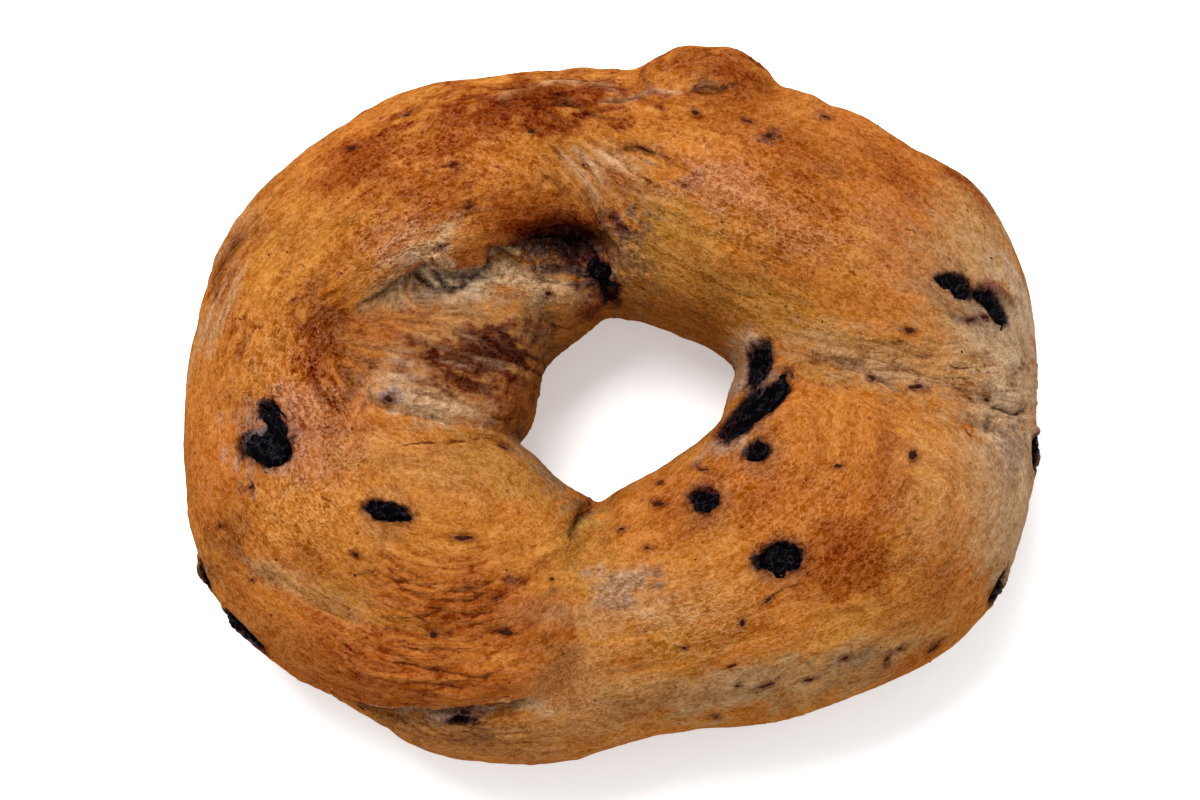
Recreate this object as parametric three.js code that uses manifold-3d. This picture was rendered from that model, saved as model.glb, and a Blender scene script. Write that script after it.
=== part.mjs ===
// A hand-twisted bagel with whole berries baked into its crust, lying on its flat base.
// Millimetres, +Z up, +X to the right and +Y to the back, the base in the plane z = 0.

import * as THREE from 'three';
import { ParametricGeometry } from 'three/addons/geometries/ParametricGeometry.js';
import { mergeVertices } from 'three/addons/utils/BufferGeometryUtils.js';
import Module from 'manifold-3d';

const wasm = await Module();
wasm.setup();

// ---- Driving dimensions ----

const WAIST_HEIGHT = 15;      // height at which the sides stand out furthest
const BASE_SINK = 2.2;        // how far the round section would reach below its flat base
const TOP_EXPONENT = 2.3;     // superellipse of the top half, 2 would be a plain ellipse
const BASE_EXPONENT = 2.5;    // superellipse of the lower half, a little squarer
const RING_STEPS = 112;       // facets round the ring
const SECTION_STEPS = 36;     // facets round its section
const SEEN_SHARE = 0.76;      // share of those that the upper part of the section gets
const SEEN_START = -0.5;      // section angle, in radians, where that upper part starts
const FOLD_POINTS = 20;       // points along each fold's path
const FOLD_EASE = 0.22;       // share of a path over which the fold comes and goes
const CREASE = 1.8;           // width over which a lip comes up out of its crease
const GAP = 0.3;              // clearance between a berry and its pocket
const FINE_LENGTH = 8;        // berries longer than this get finer facets

// Stations round the ring, anticlockwise from the right-hand side. Each joins a point of
// the outer rim to a point of the hole's edge and gives the height of the crest between them.
const STATIONS = [
  { rim: [59.5, 0.5], hole: [17, 1.5], crest: 31.5 },
  { rim: [58.5, 19], hole: [18, 6], crest: 32 },
  { rim: [50, 33], hole: [14.5, 9.5], crest: 33 },
  { rim: [36, 42], hole: [10, 11.5], crest: 34 },
  { rim: [20.5, 46], hole: [6.5, 13], crest: 33.5 },
  { rim: [4, 48.5], hole: [2, 14.5], crest: 32.5 },
  { rim: [-12.5, 48.5], hole: [-1.5, 14.5], crest: 33.5 },
  { rim: [-29, 45], hole: [-4, 12], crest: 35 },
  { rim: [-43.5, 36.5], hole: [-6.5, 10], crest: 35.5 },
  { rim: [-56, 22.5], hole: [-9, 7], crest: 35 },
  { rim: [-59.5, 5], hole: [-10.5, 2.5], crest: 34.5 },
  { rim: [-59.5, -12.5], hole: [-11.5, -2], crest: 34.5 },
  { rim: [-53.5, -29.5], hole: [-13.5, -5], crest: 34.5 },
  { rim: [-40.5, -40], hole: [-11, -7.5], crest: 34 },
  { rim: [-24.5, -48.5], hole: [-7, -11], crest: 32.5 },
  { rim: [-8.5, -50], hole: [-1.5, -13.5], crest: 31 },
  { rim: [7, -46], hole: [2.5, -11.5], crest: 30.5 },
  { rim: [22, -44], hole: [5, -10], crest: 31.5 },
  { rim: [37, -39.5], hole: [9, -7.5], crest: 32.5 },
  { rim: [50, -31], hole: [12.5, -5], crest: 32.5 },
  { rim: [58, -16.5], hole: [15.5, -2], crest: 32 },
];

// Folds, where one roll of the twisted dough laps over the next. Seen from above, the higher
// roll is on the left of the path. It rises to a rounded lip, `roll` in from the crease, and
// the lower roll dips by `dip` and comes back over `trough`.
const FOLDS = [
  // the back-left roll over the strand that runs down into the hole
  {
    path: [[-40, 7], [-33, 11], [-25.5, 15], [-19, 15.5], [-12.5, 19.5], [-6, 21.5], [-1, 18]],
    rise: 1.6, roll: 5, dip: 4.2, trough: 8,
  },
  // the front-left roll beside the same strand
  {
    path: [[-12, -3], [-16, -6], [-24, -6], [-30, -5], [-34.5, -1], [-37, 4]],
    rise: 0.8, roll: 4, dip: 1.6, trough: 3,
  },
  // the front-left roll hanging over the pale roll beneath it
  {
    path: [[-44, -37], [-38, -41], [-31, -43.5], [-20, -45], [-11, -44], [-7, -41], [-8.5, -36]],
    rise: 1.4, roll: 4, dip: 2.8, trough: 3,
  },
  // the front-right roll lapping over the end of the back-right one
  {
    path: [[56, -4.5], [49, -6], [43, -4.5], [37, -0.5], [31, 2], [24, 3.5], [18, 5.5]],
    rise: 1.2, roll: 5.5, dip: 1.6, trough: 4.5,
  },
];

// Soft valleys, the same depth on both sides of the path.
const VALLEYS = [
  // between the back-left and the back-right rolls
  { path: [[-1, 13], [-1.5, 19], [-2.5, 25], [-6.5, 30], [-8, 35]], dip: 2.2, width: 4 },
  // the crease that notches the front of the hole
  { path: [[-1.5, -11], [-2, -17], [-3.5, -22], [-6, -26]], dip: 2.6, width: 2 },
  // the spiral turn of the front-left roll
  {
    path: [[-56, -16], [-49, -23], [-41, -27], [-32, -31], [-24, -37], [-15, -40.5], [-6, -42]],
    dip: 1.1, width: 4,
  },
];

// Single swells and dents: how far the crust stands out there, and how far that spreads.
const SWELLS = [
  { at: [-39.5, 4], rise: -2.2, spread: 4.5 },
  { at: [1.5, -28.5], rise: -0.8, spread: 3.5 },
  { at: [34, -19], rise: 1, spread: 11 },
  { at: [-17, 7], rise: 1.2, spread: 5 },
  { at: [52.5, 30], rise: 0.7, spread: 5 },
  { at: [43, 39], rise: -1.4, spread: 6 },
  { at: [-30, 27], rise: 0.8, spread: 12 },
];

// The knob of dough at the back, and the torn hollow under the back-left lip.
const KNOB = { centre: [13.5, 43, 21.5], radii: [11, 8, 8.8] };
const HOLLOW = { centre: [-6, 20.6, 25.2], radii: [7.2, 4.6, 4], tilt: 0.25 };

// Berries. `at` is a place seen from above or, with a height, from the side. `size` is length,
// width and thickness, `along` the way that the length points, and `proud` the share of the
// thickness that stands out of the crust.
const BERRIES = [
  { at: [-46.5, -8.5], size: [8.4, 6.2, 4.8], along: [0.1, 1, 0], proud: 0.32 },
  { at: [-30, -19], size: [6.2, 2.8, 3], along: [1, -0.3, 0], proud: 0.3 },
  { at: [20.6, 4.2], size: [5.6, 3.4, 3.4], along: [0.5, 0.88, 0], proud: 0.45 },
  { at: [19.6, -2.4], size: [11, 4.8, 4.6], along: [0.85, 0.53, 0], proud: 0.45 },
  { at: [19.8, -9.4], size: [3.2, 2.6, 2.6], along: [1, 0.2, 0], proud: 0.35 },
  { at: [12.7, -16.3], size: [4, 3.1, 3], along: [1, -0.3, 0], proud: 0.35 },
  { at: [22.5, -25], size: [5.8, 4.1, 3.8], along: [1, 0.2, 0], proud: 0.32 },
  { at: [46.7, 13.2], size: [4.2, 3.2, 3], along: [1, -0.4, 0], proud: 0.3 },
  { at: [52, 10.8], size: [6.2, 2.8, 3], along: [0.7, -0.72, 0], proud: 0.35 },
  { at: [61, -7.5, 20], size: [4, 2.8, 3.2], along: [0.1, 1, 0.3], proud: 0.4 },
  { at: [56, -27, 20], size: [4.8, 2.4, 2.8], along: [0.45, 0.9, 0.2], proud: 0.3 },
  { at: [-58, -24.5, 17.5], size: [3.4, 2.4, 2.8], along: [0.4, -0.9, 0], proud: 0.35 },
  { at: [-51, -32.5, 18.5], size: [5.6, 2.8, 3], along: [0.7, -0.7, 0], proud: 0.32 },
  { at: [-20, -46.5], size: [4.2, 2.4, 2.8], along: [1, 0, 0], proud: 0.25 },
  { at: [-1.6, 17], size: [6, 3.6, 3.8], along: [0.45, -0.75, -0.4], proud: 0.45 },
];

// ---- The ring between rim and hole ----

const closedCurve = (points) => new THREE.CatmullRomCurve3(points, true, 'centripetal');
const rimCurve = closedCurve(STATIONS.map((s) => new THREE.Vector3(...s.rim, s.crest)));
const holeCurve = closedCurve(STATIONS.map((s) => new THREE.Vector3(...s.hole, 0)));

function superellipse(value, exponent) {
  return Math.sign(value) * Math.abs(value) ** (2 / exponent);
}

// Angle round the section: 0 is the outer side, a quarter turn the crest, half a turn the hole.
function sectionAngle(v) {
  const seenSpan = Math.PI - 2 * SEEN_START;
  if (v < SEEN_SHARE) {
    return SEEN_START + (seenSpan * v) / SEEN_SHARE;
  }
  const below = (v - SEEN_SHARE) / (1 - SEEN_SHARE);
  return SEEN_START + seenSpan + (2 * Math.PI - seenSpan) * below;
}

function smoothPath(path) {
  const points = path.map(([x, y]) => new THREE.Vector3(x, y, 0));
  return new THREE.CatmullRomCurve3(points).getPoints(FOLD_POINTS);
}

const folds = FOLDS.map((fold) => ({ ...fold, path: smoothPath(fold.path) }));
const valleys = VALLEYS.map((valley) => ({ ...valley, path: smoothPath(valley.path) }));

// The signed distance from a path, positive on its left, and how far along it that is, eased
// from 0 at either end to 1.
function besidePath(path, x, y) {
  let best = Infinity;
  let side = 1;
  let along = 0;
  for (let i = 0; i < path.length - 1; i += 1) {
    const spanX = path[i + 1].x - path[i].x;
    const spanY = path[i + 1].y - path[i].y;
    const offX = x - path[i].x;
    const offY = y - path[i].y;
    const share = (offX * spanX + offY * spanY) / (spanX ** 2 + spanY ** 2);
    const t = THREE.MathUtils.clamp(share, 0, 1);
    const distance = Math.hypot(offX - t * spanX, offY - t * spanY);
    if (distance < best) {
      best = distance;
      side = Math.sign(spanX * offY - spanY * offX) || 1;
      along = (i + t) / (path.length - 1);
    }
  }
  const ease = THREE.MathUtils.smoothstep(Math.min(along, 1 - along), 0, FOLD_EASE);
  return { distance: best * side, ease };
}

// How far the crust stands out of the plain ring at a place seen from above.
function relief(x, y) {
  let height = 0;
  for (const { path, rise, roll, dip, trough } of folds) {
    const { distance, ease } = besidePath(path, x, y);
    if (distance > 0) {
      const lip = (distance / roll) * Math.exp(1 - distance / roll);
      height += ease * (rise * lip - dip * Math.exp(-distance / CREASE));
    } else {
      height -= ease * dip * Math.exp(distance / trough);
    }
  }
  for (const { path, dip, width } of valleys) {
    const { distance, ease } = besidePath(path, x, y);
    height -= ease * dip * Math.exp(-((distance / width) ** 2));
  }
  for (const { at, rise, spread } of SWELLS) {
    height += rise * Math.exp(-(((x - at[0]) ** 2 + (y - at[1]) ** 2) / spread ** 2));
  }
  return height;
}

function crustPoint(u, v, target) {
  const angle = sectionAngle(v);
  const rim = rimCurve.getPoint(u);
  const hole = holeCurve.getPoint(u);
  const upper = Math.sin(angle) > 0;
  const exponent = upper ? TOP_EXPONENT : BASE_EXPONENT;
  const across = superellipse(Math.cos(angle), exponent);
  const up = superellipse(Math.sin(angle), exponent);
  const rise = upper ? rim.z - WAIST_HEIGHT : WAIST_HEIGHT + BASE_SINK;
  const x = (rim.x + hole.x) / 2 + ((rim.x - hole.x) / 2) * across;
  const y = (rim.y + hole.y) / 2 + ((rim.y - hole.y) / 2) * across;

  // the relief fades out below the waist
  const share = THREE.MathUtils.smoothstep(Math.sin(angle), -0.35, 0.3);
  const outX = rim.x - hole.x;
  const outY = rim.y - hole.y;
  const level = (Math.cos(angle) / Math.hypot(outX, outY)) * share * relief(x, y);
  const lift = Math.sin(angle) * share * relief(x, y);
  target.set(x + outX * level, y + outY * level, WAIST_HEIGHT + rise * up + lift);
}

// ---- Joining and cutting ----

function toSolid(geometry) {
  const bare = geometry.clone();
  bare.deleteAttribute('normal');
  bare.deleteAttribute('uv');
  const merged = mergeVertices(bare, 1e-4);
  return new wasm.Manifold(new wasm.Mesh({
    numProp: 3,
    vertProperties: new Float32Array(merged.attributes.position.array),
    triVerts: new Uint32Array(merged.index.array),
  }));
}

function toGeometry(solid) {
  const { vertProperties, triVerts } = solid.getMesh();
  const geometry = new THREE.BufferGeometry();
  geometry.setAttribute('position', new THREE.BufferAttribute(vertProperties, 3));
  geometry.setIndex(new THREE.BufferAttribute(triVerts, 1));
  geometry.computeVertexNormals();
  return geometry;
}

function ellipsoid({ centre, radii, tilt = 0 }) {
  const geometry = new THREE.IcosahedronGeometry(1, 3);
  geometry.scale(...radii);
  geometry.rotateX(tilt);
  geometry.translate(...centre);
  return geometry;
}

// ---- Berries ----

// A dried berry: an ellipsoid with a few shallow wrinkles, its length along X.
function berryGeometry([length, width, thickness], turn, spare) {
  const detail = length > FINE_LENGTH ? 2 : 1;
  const geometry = new THREE.IcosahedronGeometry(0.5, detail);
  const position = geometry.attributes.position;
  const point = new THREE.Vector3();
  for (let i = 0; i < position.count; i += 1) {
    point.fromBufferAttribute(position, i);
    const wrinkle = Math.sin(9 * point.x + turn) * Math.cos(8 * point.y + 2 * turn);
    point.multiplyScalar(1 + 0.1 * wrinkle);
    position.setXYZ(i, point.x, point.y, point.z);
  }
  geometry.scale(length + spare, width + spare, thickness + spare);
  return geometry;
}

// The place and the outward direction of the crust under `at`, from above or from the side.
function seat(crust, at) {
  const [x, y, height] = at;
  const ray = new THREE.Raycaster();
  if (height === undefined) {
    ray.set(new THREE.Vector3(x, y, 60), new THREE.Vector3(0, 0, -1));
  } else {
    const inward = new THREE.Vector3(-x, -y, 0).normalize();
    ray.set(new THREE.Vector3(x, y, height).addScaledVector(inward, -20), inward);
  }
  const hit = ray.intersectObject(crust)[0];
  return { point: hit.point, normal: hit.face.normal };
}

function berryPlace(crust, { at, size, along, proud }) {
  const { point, normal } = seat(crust, at);
  const lengthways = new THREE.Vector3(...along).projectOnPlane(normal).normalize();
  const sideways = new THREE.Vector3().crossVectors(normal, lengthways);
  const centre = point.clone().addScaledVector(normal, (proud - 0.5) * size[2]);
  return new THREE.Matrix4().makeBasis(lengthways, sideways, normal).setPosition(centre);
}

// ---- The bagel ----

const doughMaterial = new THREE.MeshStandardMaterial({ color: 0xb06f33, roughness: 0.55 });
const berryMaterial = new THREE.MeshStandardMaterial({ color: 0x15131a, roughness: 0.35 });

const ring = new ParametricGeometry(crustPoint, RING_STEPS, SECTION_STEPS);
const table = new THREE.BoxGeometry(200, 200, 20).translate(0, 0, -10);
const whole = toSolid(ring)
  .add(toSolid(ellipsoid(KNOB)))
  .subtract(toSolid(ellipsoid(HOLLOW)))
  .subtract(toSolid(table));
const crust = new THREE.Mesh(toGeometry(whole));

const object = new THREE.Group();
let pitted = whole;
BERRIES.forEach((berry, i) => {
  const place = berryPlace(crust, berry);
  const pocket = berryGeometry(berry.size, i, 2 * GAP).applyMatrix4(place);
  pitted = pitted.subtract(toSolid(pocket));
  const mesh = new THREE.Mesh(berryGeometry(berry.size, i, 0).applyMatrix4(place), berryMaterial);
  mesh.name = `berry_${i + 1}`;
  object.add(mesh);
});

const dough = new THREE.Mesh(toGeometry(pitted), doughMaterial);
dough.name = 'dough';
object.add(dough);

// centre the bagel over the origin
const middle = new THREE.Box3().setFromObject(object).getCenter(new THREE.Vector3());
object.position.set(-middle.x, -middle.y, 0);

export default object;
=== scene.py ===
import math
import random

import bmesh
import bpy
import numpy as np
from mathutils import Matrix, Vector, noise
from mathutils.bvhtree import BVHTree


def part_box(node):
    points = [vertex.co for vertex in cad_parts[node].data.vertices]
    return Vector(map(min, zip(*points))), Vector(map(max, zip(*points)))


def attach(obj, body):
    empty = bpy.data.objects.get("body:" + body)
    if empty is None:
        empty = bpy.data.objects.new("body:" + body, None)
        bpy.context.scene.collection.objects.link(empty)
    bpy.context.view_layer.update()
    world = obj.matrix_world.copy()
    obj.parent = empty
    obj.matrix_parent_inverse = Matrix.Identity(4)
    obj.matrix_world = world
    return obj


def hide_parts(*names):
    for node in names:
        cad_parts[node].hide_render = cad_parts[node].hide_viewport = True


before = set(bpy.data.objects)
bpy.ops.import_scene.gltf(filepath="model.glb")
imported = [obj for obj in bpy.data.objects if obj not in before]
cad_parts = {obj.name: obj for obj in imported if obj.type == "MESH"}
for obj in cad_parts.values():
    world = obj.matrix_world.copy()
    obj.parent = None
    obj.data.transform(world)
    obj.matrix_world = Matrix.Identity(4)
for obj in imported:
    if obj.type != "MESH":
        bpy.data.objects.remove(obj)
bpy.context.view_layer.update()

scene = bpy.context.scene

# ---- The view ----
# The bagel is looked down on from its front, 13 degrees off the vertical, through a long lens.
# Marks that only show from there are placed by this view's picture points, 1200 by 800.

PICTURE_WIDTH, PICTURE_HEIGHT = 1200, 800
LENS, SENSOR = 100.0, 36.0                  # mm
ELEVATION = math.radians(77)
DISTANCE = 0.468                            # m
AIM = Vector((-0.0017, 0.0003, 0.0171))

FORWARD = Vector((0, math.cos(ELEVATION), -math.sin(ELEVATION)))
UPWARD = Vector((0, math.sin(ELEVATION), math.cos(ELEVATION)))
EYE = AIM - DISTANCE * FORWARD
FOCUS = LENS / SENSOR * PICTURE_WIDTH
POINTS_PER_MM = 0.001 * FOCUS / DISTANCE

camera = bpy.data.objects.new("camera", bpy.data.cameras.new("camera"))
camera.data.lens = LENS
camera.data.sensor_width = SENSOR
camera.location = EYE
camera.rotation_euler = (math.pi / 2 - ELEVATION, 0, 0)
scene.collection.objects.link(camera)
scene.camera = camera


def picture_places(points):
    """Where the view shows each point, in picture points from the top left corner."""
    offsets = points - np.array(EYE)
    depths = offsets @ np.array(FORWARD)
    across = PICTURE_WIDTH / 2 + FOCUS * offsets[:, 0] / depths
    down = PICTURE_HEIGHT / 2 - FOCUS * (offsets @ np.array(UPWARD)) / depths
    return np.column_stack((across, down))


def sight_line(across, down):
    """The direction from the eye through a picture place."""
    sideways = (across - PICTURE_WIDTH / 2) / FOCUS
    upwards = (PICTURE_HEIGHT / 2 - down) / FOCUS
    return (FORWARD + sideways * Vector((1, 0, 0)) + upwards * UPWARD).normalized()


# ---- The dough ----
# One rope of dough, rolled up, twisted and closed into a ring, then boiled and baked. Its turns
# lap over each other, and the boiled skin has dried into a thin, finely wrinkled crust.

MM = 0.001
WELD = 0.001 * MM
SKIN_GRAIN = 0.42 * MM
PLUG = 0.7 * MM             # how far a plug reaches past the berry whose pocket it fills
SMOOTHING = 0.6
PROVING_STEPS = 36


def copy_merged(name, growth=0.0):
    """A CAD node's mesh with its loose triangles joined, grown by a length on every side."""
    shape = bmesh.new()
    shape.from_mesh(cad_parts[name].data)
    bmesh.ops.remove_doubles(shape, verts=shape.verts, dist=WELD)
    low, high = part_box(name)
    scale = 1 + 2 * growth / min(high - low)
    middle = Matrix.Translation(-(low + high) / 2)
    bmesh.ops.scale(shape, vec=(scale, scale, scale), space=middle, verts=shape.verts)
    return shape


def apply_modifiers(piece):
    """Makes what a piece's modifiers show its own mesh."""
    bpy.context.view_layer.update()
    finished = piece.evaluated_get(bpy.context.evaluated_depsgraph_get())
    mesh = bpy.data.meshes.new_from_object(finished)
    piece.modifiers.clear()
    piece.data = mesh


def places_of(mesh):
    flat = np.empty(3 * len(mesh.vertices))
    mesh.vertices.foreach_get("co", flat)
    return flat.reshape(-1, 3)


def normals_of(mesh):
    flat = np.empty(3 * len(mesh.vertices))
    mesh.vertices.foreach_get("normal", flat)
    return flat.reshape(-1, 3)


def smoothstep(low, high, value):
    """Goes from 0 at `low` to 1 at `high`, with soft ends."""
    share = np.clip((value - low) / (high - low), 0, 1)
    return share * share * (3 - 2 * share)


# the ring with its berry pockets plugged, as one fine even skin
BERRIES = [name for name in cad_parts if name.startswith("berry")]
ring = copy_merged("dough")
for name in BERRIES:
    plug = bpy.data.meshes.new("plug")
    copy_merged(name, PLUG).to_mesh(plug)
    ring.from_mesh(plug)
    bpy.data.meshes.remove(plug)
dough = bpy.data.objects.new("bagel_dough", bpy.data.meshes.new("bagel_dough"))
ring.to_mesh(dough.data)
scene.collection.objects.link(dough)


def reskin(steps):
    """Makes the dough's surface one closed, even skin, and smooths it."""
    skin = dough.modifiers.new("skin", "REMESH")
    skin.mode = "VOXEL"
    skin.voxel_size = SKIN_GRAIN
    proving = dough.modifiers.new("proving", "SMOOTH")
    proving.factor = SMOOTHING
    proving.iterations = steps
    apply_modifiers(dough)


reskin(PROVING_STEPS)

TO_MM = np.array((1, -1)) / POINTS_PER_MM


def oval_reach(spots, across, down, half_width, half_height, tilt):
    """How far out each spot lies in an oval of the picture, where 1 is its edge."""
    turn = math.radians(tilt)
    offset = spots - np.array((across, down)) * TO_MM
    u = offset[:, 0] * math.cos(turn) + offset[:, 1] * math.sin(turn)
    v = offset[:, 1] * math.cos(turn) - offset[:, 0] * math.sin(turn)
    return np.hypot(u / half_width, v / half_height) * POINTS_PER_MM


def curved_terms(u, v):
    """The terms of a gently curved sheet over two directions."""
    return np.column_stack((np.ones(len(u)), u, v, u * u, u * v, v * v))


# The torn mouth of the hollow is shallow. Its floor lies a little under a curved sheet through
# the skin round it, and walls that lie far from that floor stay as they are.
MOUTH = (566, 256, 54, 27, -10)
MOUTH_DEPTH = 1.2 * MM
MOUTH_FILL = 0.96
MOUTH_BRIM = 1.35           # the skin round it reaches this many times as far out as the mouth
FAR_WALL = (9 * MM, 18 * MM)
CELL = 6                    # picture points; the nearest skin in each such square is what shows
CELLS_DOWN = 1000           # more than the view has squares from top to bottom
SHOWING = 1.5 * MM          # what lies this little behind the nearest skin shows too
UNIT = 40                   # picture points
RESKIN_STEPS = 10
raw = places_of(dough.data)
shown = picture_places(raw)
away = (raw - np.array(EYE)) @ np.array(FORWARD)
reach = oval_reach(shown * TO_MM, *MOUTH)
columns, rows = (shown // CELL).astype(int).T
cell = columns * CELLS_DOWN + rows
nearest = np.full(cell.max() + 1, np.inf)
np.minimum.at(nearest, cell, away)
in_front = away < nearest[cell] + SHOWING
around = in_front & (reach > 1.0) & (reach < MOUTH_BRIM)
terms = curved_terms(*((shown - np.array(MOUTH[:2])) / UNIT).T)
level = terms @ np.linalg.lstsq(terms[around], away[around], rcond=None)[0]
beyond = away - level - MOUTH_DEPTH * np.clip(1 - reach ** 2, 0, 1)
fill = MOUTH_FILL * (1 - smoothstep(0.75, 1.1, reach)) * (1 - smoothstep(*FAR_WALL, np.abs(beyond)))
raw -= (raw - np.array(EYE)) * (fill * beyond / away)[:, None]
dough.data.vertices.foreach_set("co", raw.ravel())
reskin(RESKIN_STEPS)

# there and at the end of the front lip the dough sags, and keeps no rims of its own
SAGS = [(566, 256, 56, 30, -10), (554, 696, 42, 24, -6)]
SAG_STEPS = 40
shown = picture_places(places_of(dough.data)) * TO_MM
sag = 1 - smoothstep(0.7, 1.1, np.min([oval_reach(shown, *oval) for oval in SAGS], axis=0))
sagged = dough.vertex_groups.new(name="sagged")
for i in np.nonzero(sag > 0)[0].tolist():
    sagged.add([i], sag[i], "REPLACE")
sagging = dough.modifiers.new("sagging", "SMOOTH")
sagging.vertex_group = "sagged"
sagging.factor = SMOOTHING
sagging.iterations = SAG_STEPS
apply_modifiers(dough)
dough.vertex_groups.clear()

places = places_of(dough.data)
normals = normals_of(dough.data)
to_eye = np.array(EYE) - places
facing = np.sum(normals * to_eye, axis=1) / np.linalg.norm(to_eye, axis=1)
seen = smoothstep(0.0, 0.3, facing)
painted = smoothstep(-0.5, -0.1, facing)          # colours reach round to the sides
flat_places = picture_places(places) * TO_MM      # millimetres across the view, y upwards


def noise_at(spots, octaves=2):
    """Smooth noise at some spots, about -1 to 1, with blots about one unit across."""
    return np.array([noise.fractal(spot, 1.0, 2.0, octaves) for spot in spots.tolist()])


def blots(size, octaves=3, shift=0.0):
    """Noise over the dough with blots about `size` millimetres across."""
    return noise_at(places / (size * MM) + shift, octaves)


def smooth_path(path, steps=6):
    """Points close together on a smooth curve through some picture places, in millimetres."""
    points = np.array(path, float) * TO_MM
    points = np.vstack((2 * points[0] - points[1], points, 2 * points[-1] - points[-2]))
    t = np.linspace(0, 1, steps, endpoint=False)[:, None]
    spans = []
    for a, b, c, d in zip(points, points[1:], points[2:], points[3:]):
        bend = 2 * a - 5 * b + 4 * c - d
        twist = 3 * (b - c) + d - a
        spans.append(b + 0.5 * ((c - a) * t + bend * t ** 2 + twist * t ** 3))
    return np.vstack(spans + [points[-2:-1]])


def beside(path, spots):
    """The distance of each spot from a path, positive on its left, and the share along it."""
    route = smooth_path(path)
    distance = np.full(len(spots), np.inf)
    along = np.zeros(len(spots))
    for i, (start, end) in enumerate(zip(route, route[1:])):
        span = end - start
        offset = spots - start
        share = np.clip(offset @ span / (span @ span), 0, 1)
        gap = offset - share[:, None] * span
        away = np.hypot(gap[:, 0], gap[:, 1])
        side = np.where(span[0] * offset[:, 1] < span[1] * offset[:, 0], -1, 1)
        nearer = away < np.abs(distance)
        distance[nearer] = (away * side)[nearer]
        along[nearer] = (i + share[nearer]) / (len(route) - 1)
    return distance, along


def near_path(path, reach):
    """Which of the seen spots lie within `reach` millimetres of a path's box."""
    corners = np.array(path, float) * TO_MM
    low, high = corners.min(axis=0) - reach, corners.max(axis=0) + reach
    inside = np.all((flat_places > low) & (flat_places < high), axis=1)
    return np.nonzero(inside & (seen > 0))[0]


# Turns of the dough that lap over their neighbour. The upper turn is on the left of each path:
# how high its lip rises, how wide that lip is, how far the lower turn dips and over what width,
# and how dark the painted shade along the line between them is at the path's start and at its end.
LAPS = [
    # the back-left turn over the strand that runs into the hole
    ([(340, 312), (369, 299), (403, 277), (426, 262), (440, 268), (456, 271), (472, 270),
      (485, 266), (489, 255), (492, 248), (518, 242), (542, 232), (560, 229), (575, 232),
      (588, 241), (597, 256), (602, 280)], 0.5, 2.0, 1.1, 2.2, 0.0, 1.0),
    # the front-left turn over the same strand
    ([(520, 442), (503, 434), (467, 427), (431, 420), (396, 412), (376, 404), (362, 388)],
     0.2, 2.2, 0.5, 2.0, 0.1, 0.0),
    # the front-left turn hanging over the pale turn beneath it
    ([(290, 664), (323, 684), (343, 696), (374, 706), (410, 710), (448, 709), (473, 705),
      (508, 703), (530, 700)], 0.5, 2.5, 1.2, 2.2, 0.9, 0.1),
    # the front-right turn over the end of the back-right one
    ([(1036, 436), (985, 430), (930, 408), (890, 386), (850, 370), (800, 362), (768, 356)],
     0.15, 2.5, 0.25, 2.0, 0.1, 0.0),
    # the knob over the ring
    ([(652, 58), (642, 72), (639, 88), (645, 100)], 0.3, 2.0, 0.6, 1.5, 0.4, 0.1),
    # the flap of torn skin inside the hollow
    ([(497, 248), (508, 252), (520, 258), (528, 262)], 0.5, 1.2, 0.6, 1.0, 0.5, 0.5),
    # the tip of the strand
    ([(598, 309), (575, 324), (561, 328), (533, 317)], 0.35, 1.5, 0.5, 1.2, 0.5, 0.2),
    # the thin flap at the back-right rim
    ([(1003, 236), (992, 210), (972, 185), (946, 173)], 0.3, 1.5, 0.3, 1.2, 0.4, 0.2),
]
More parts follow.
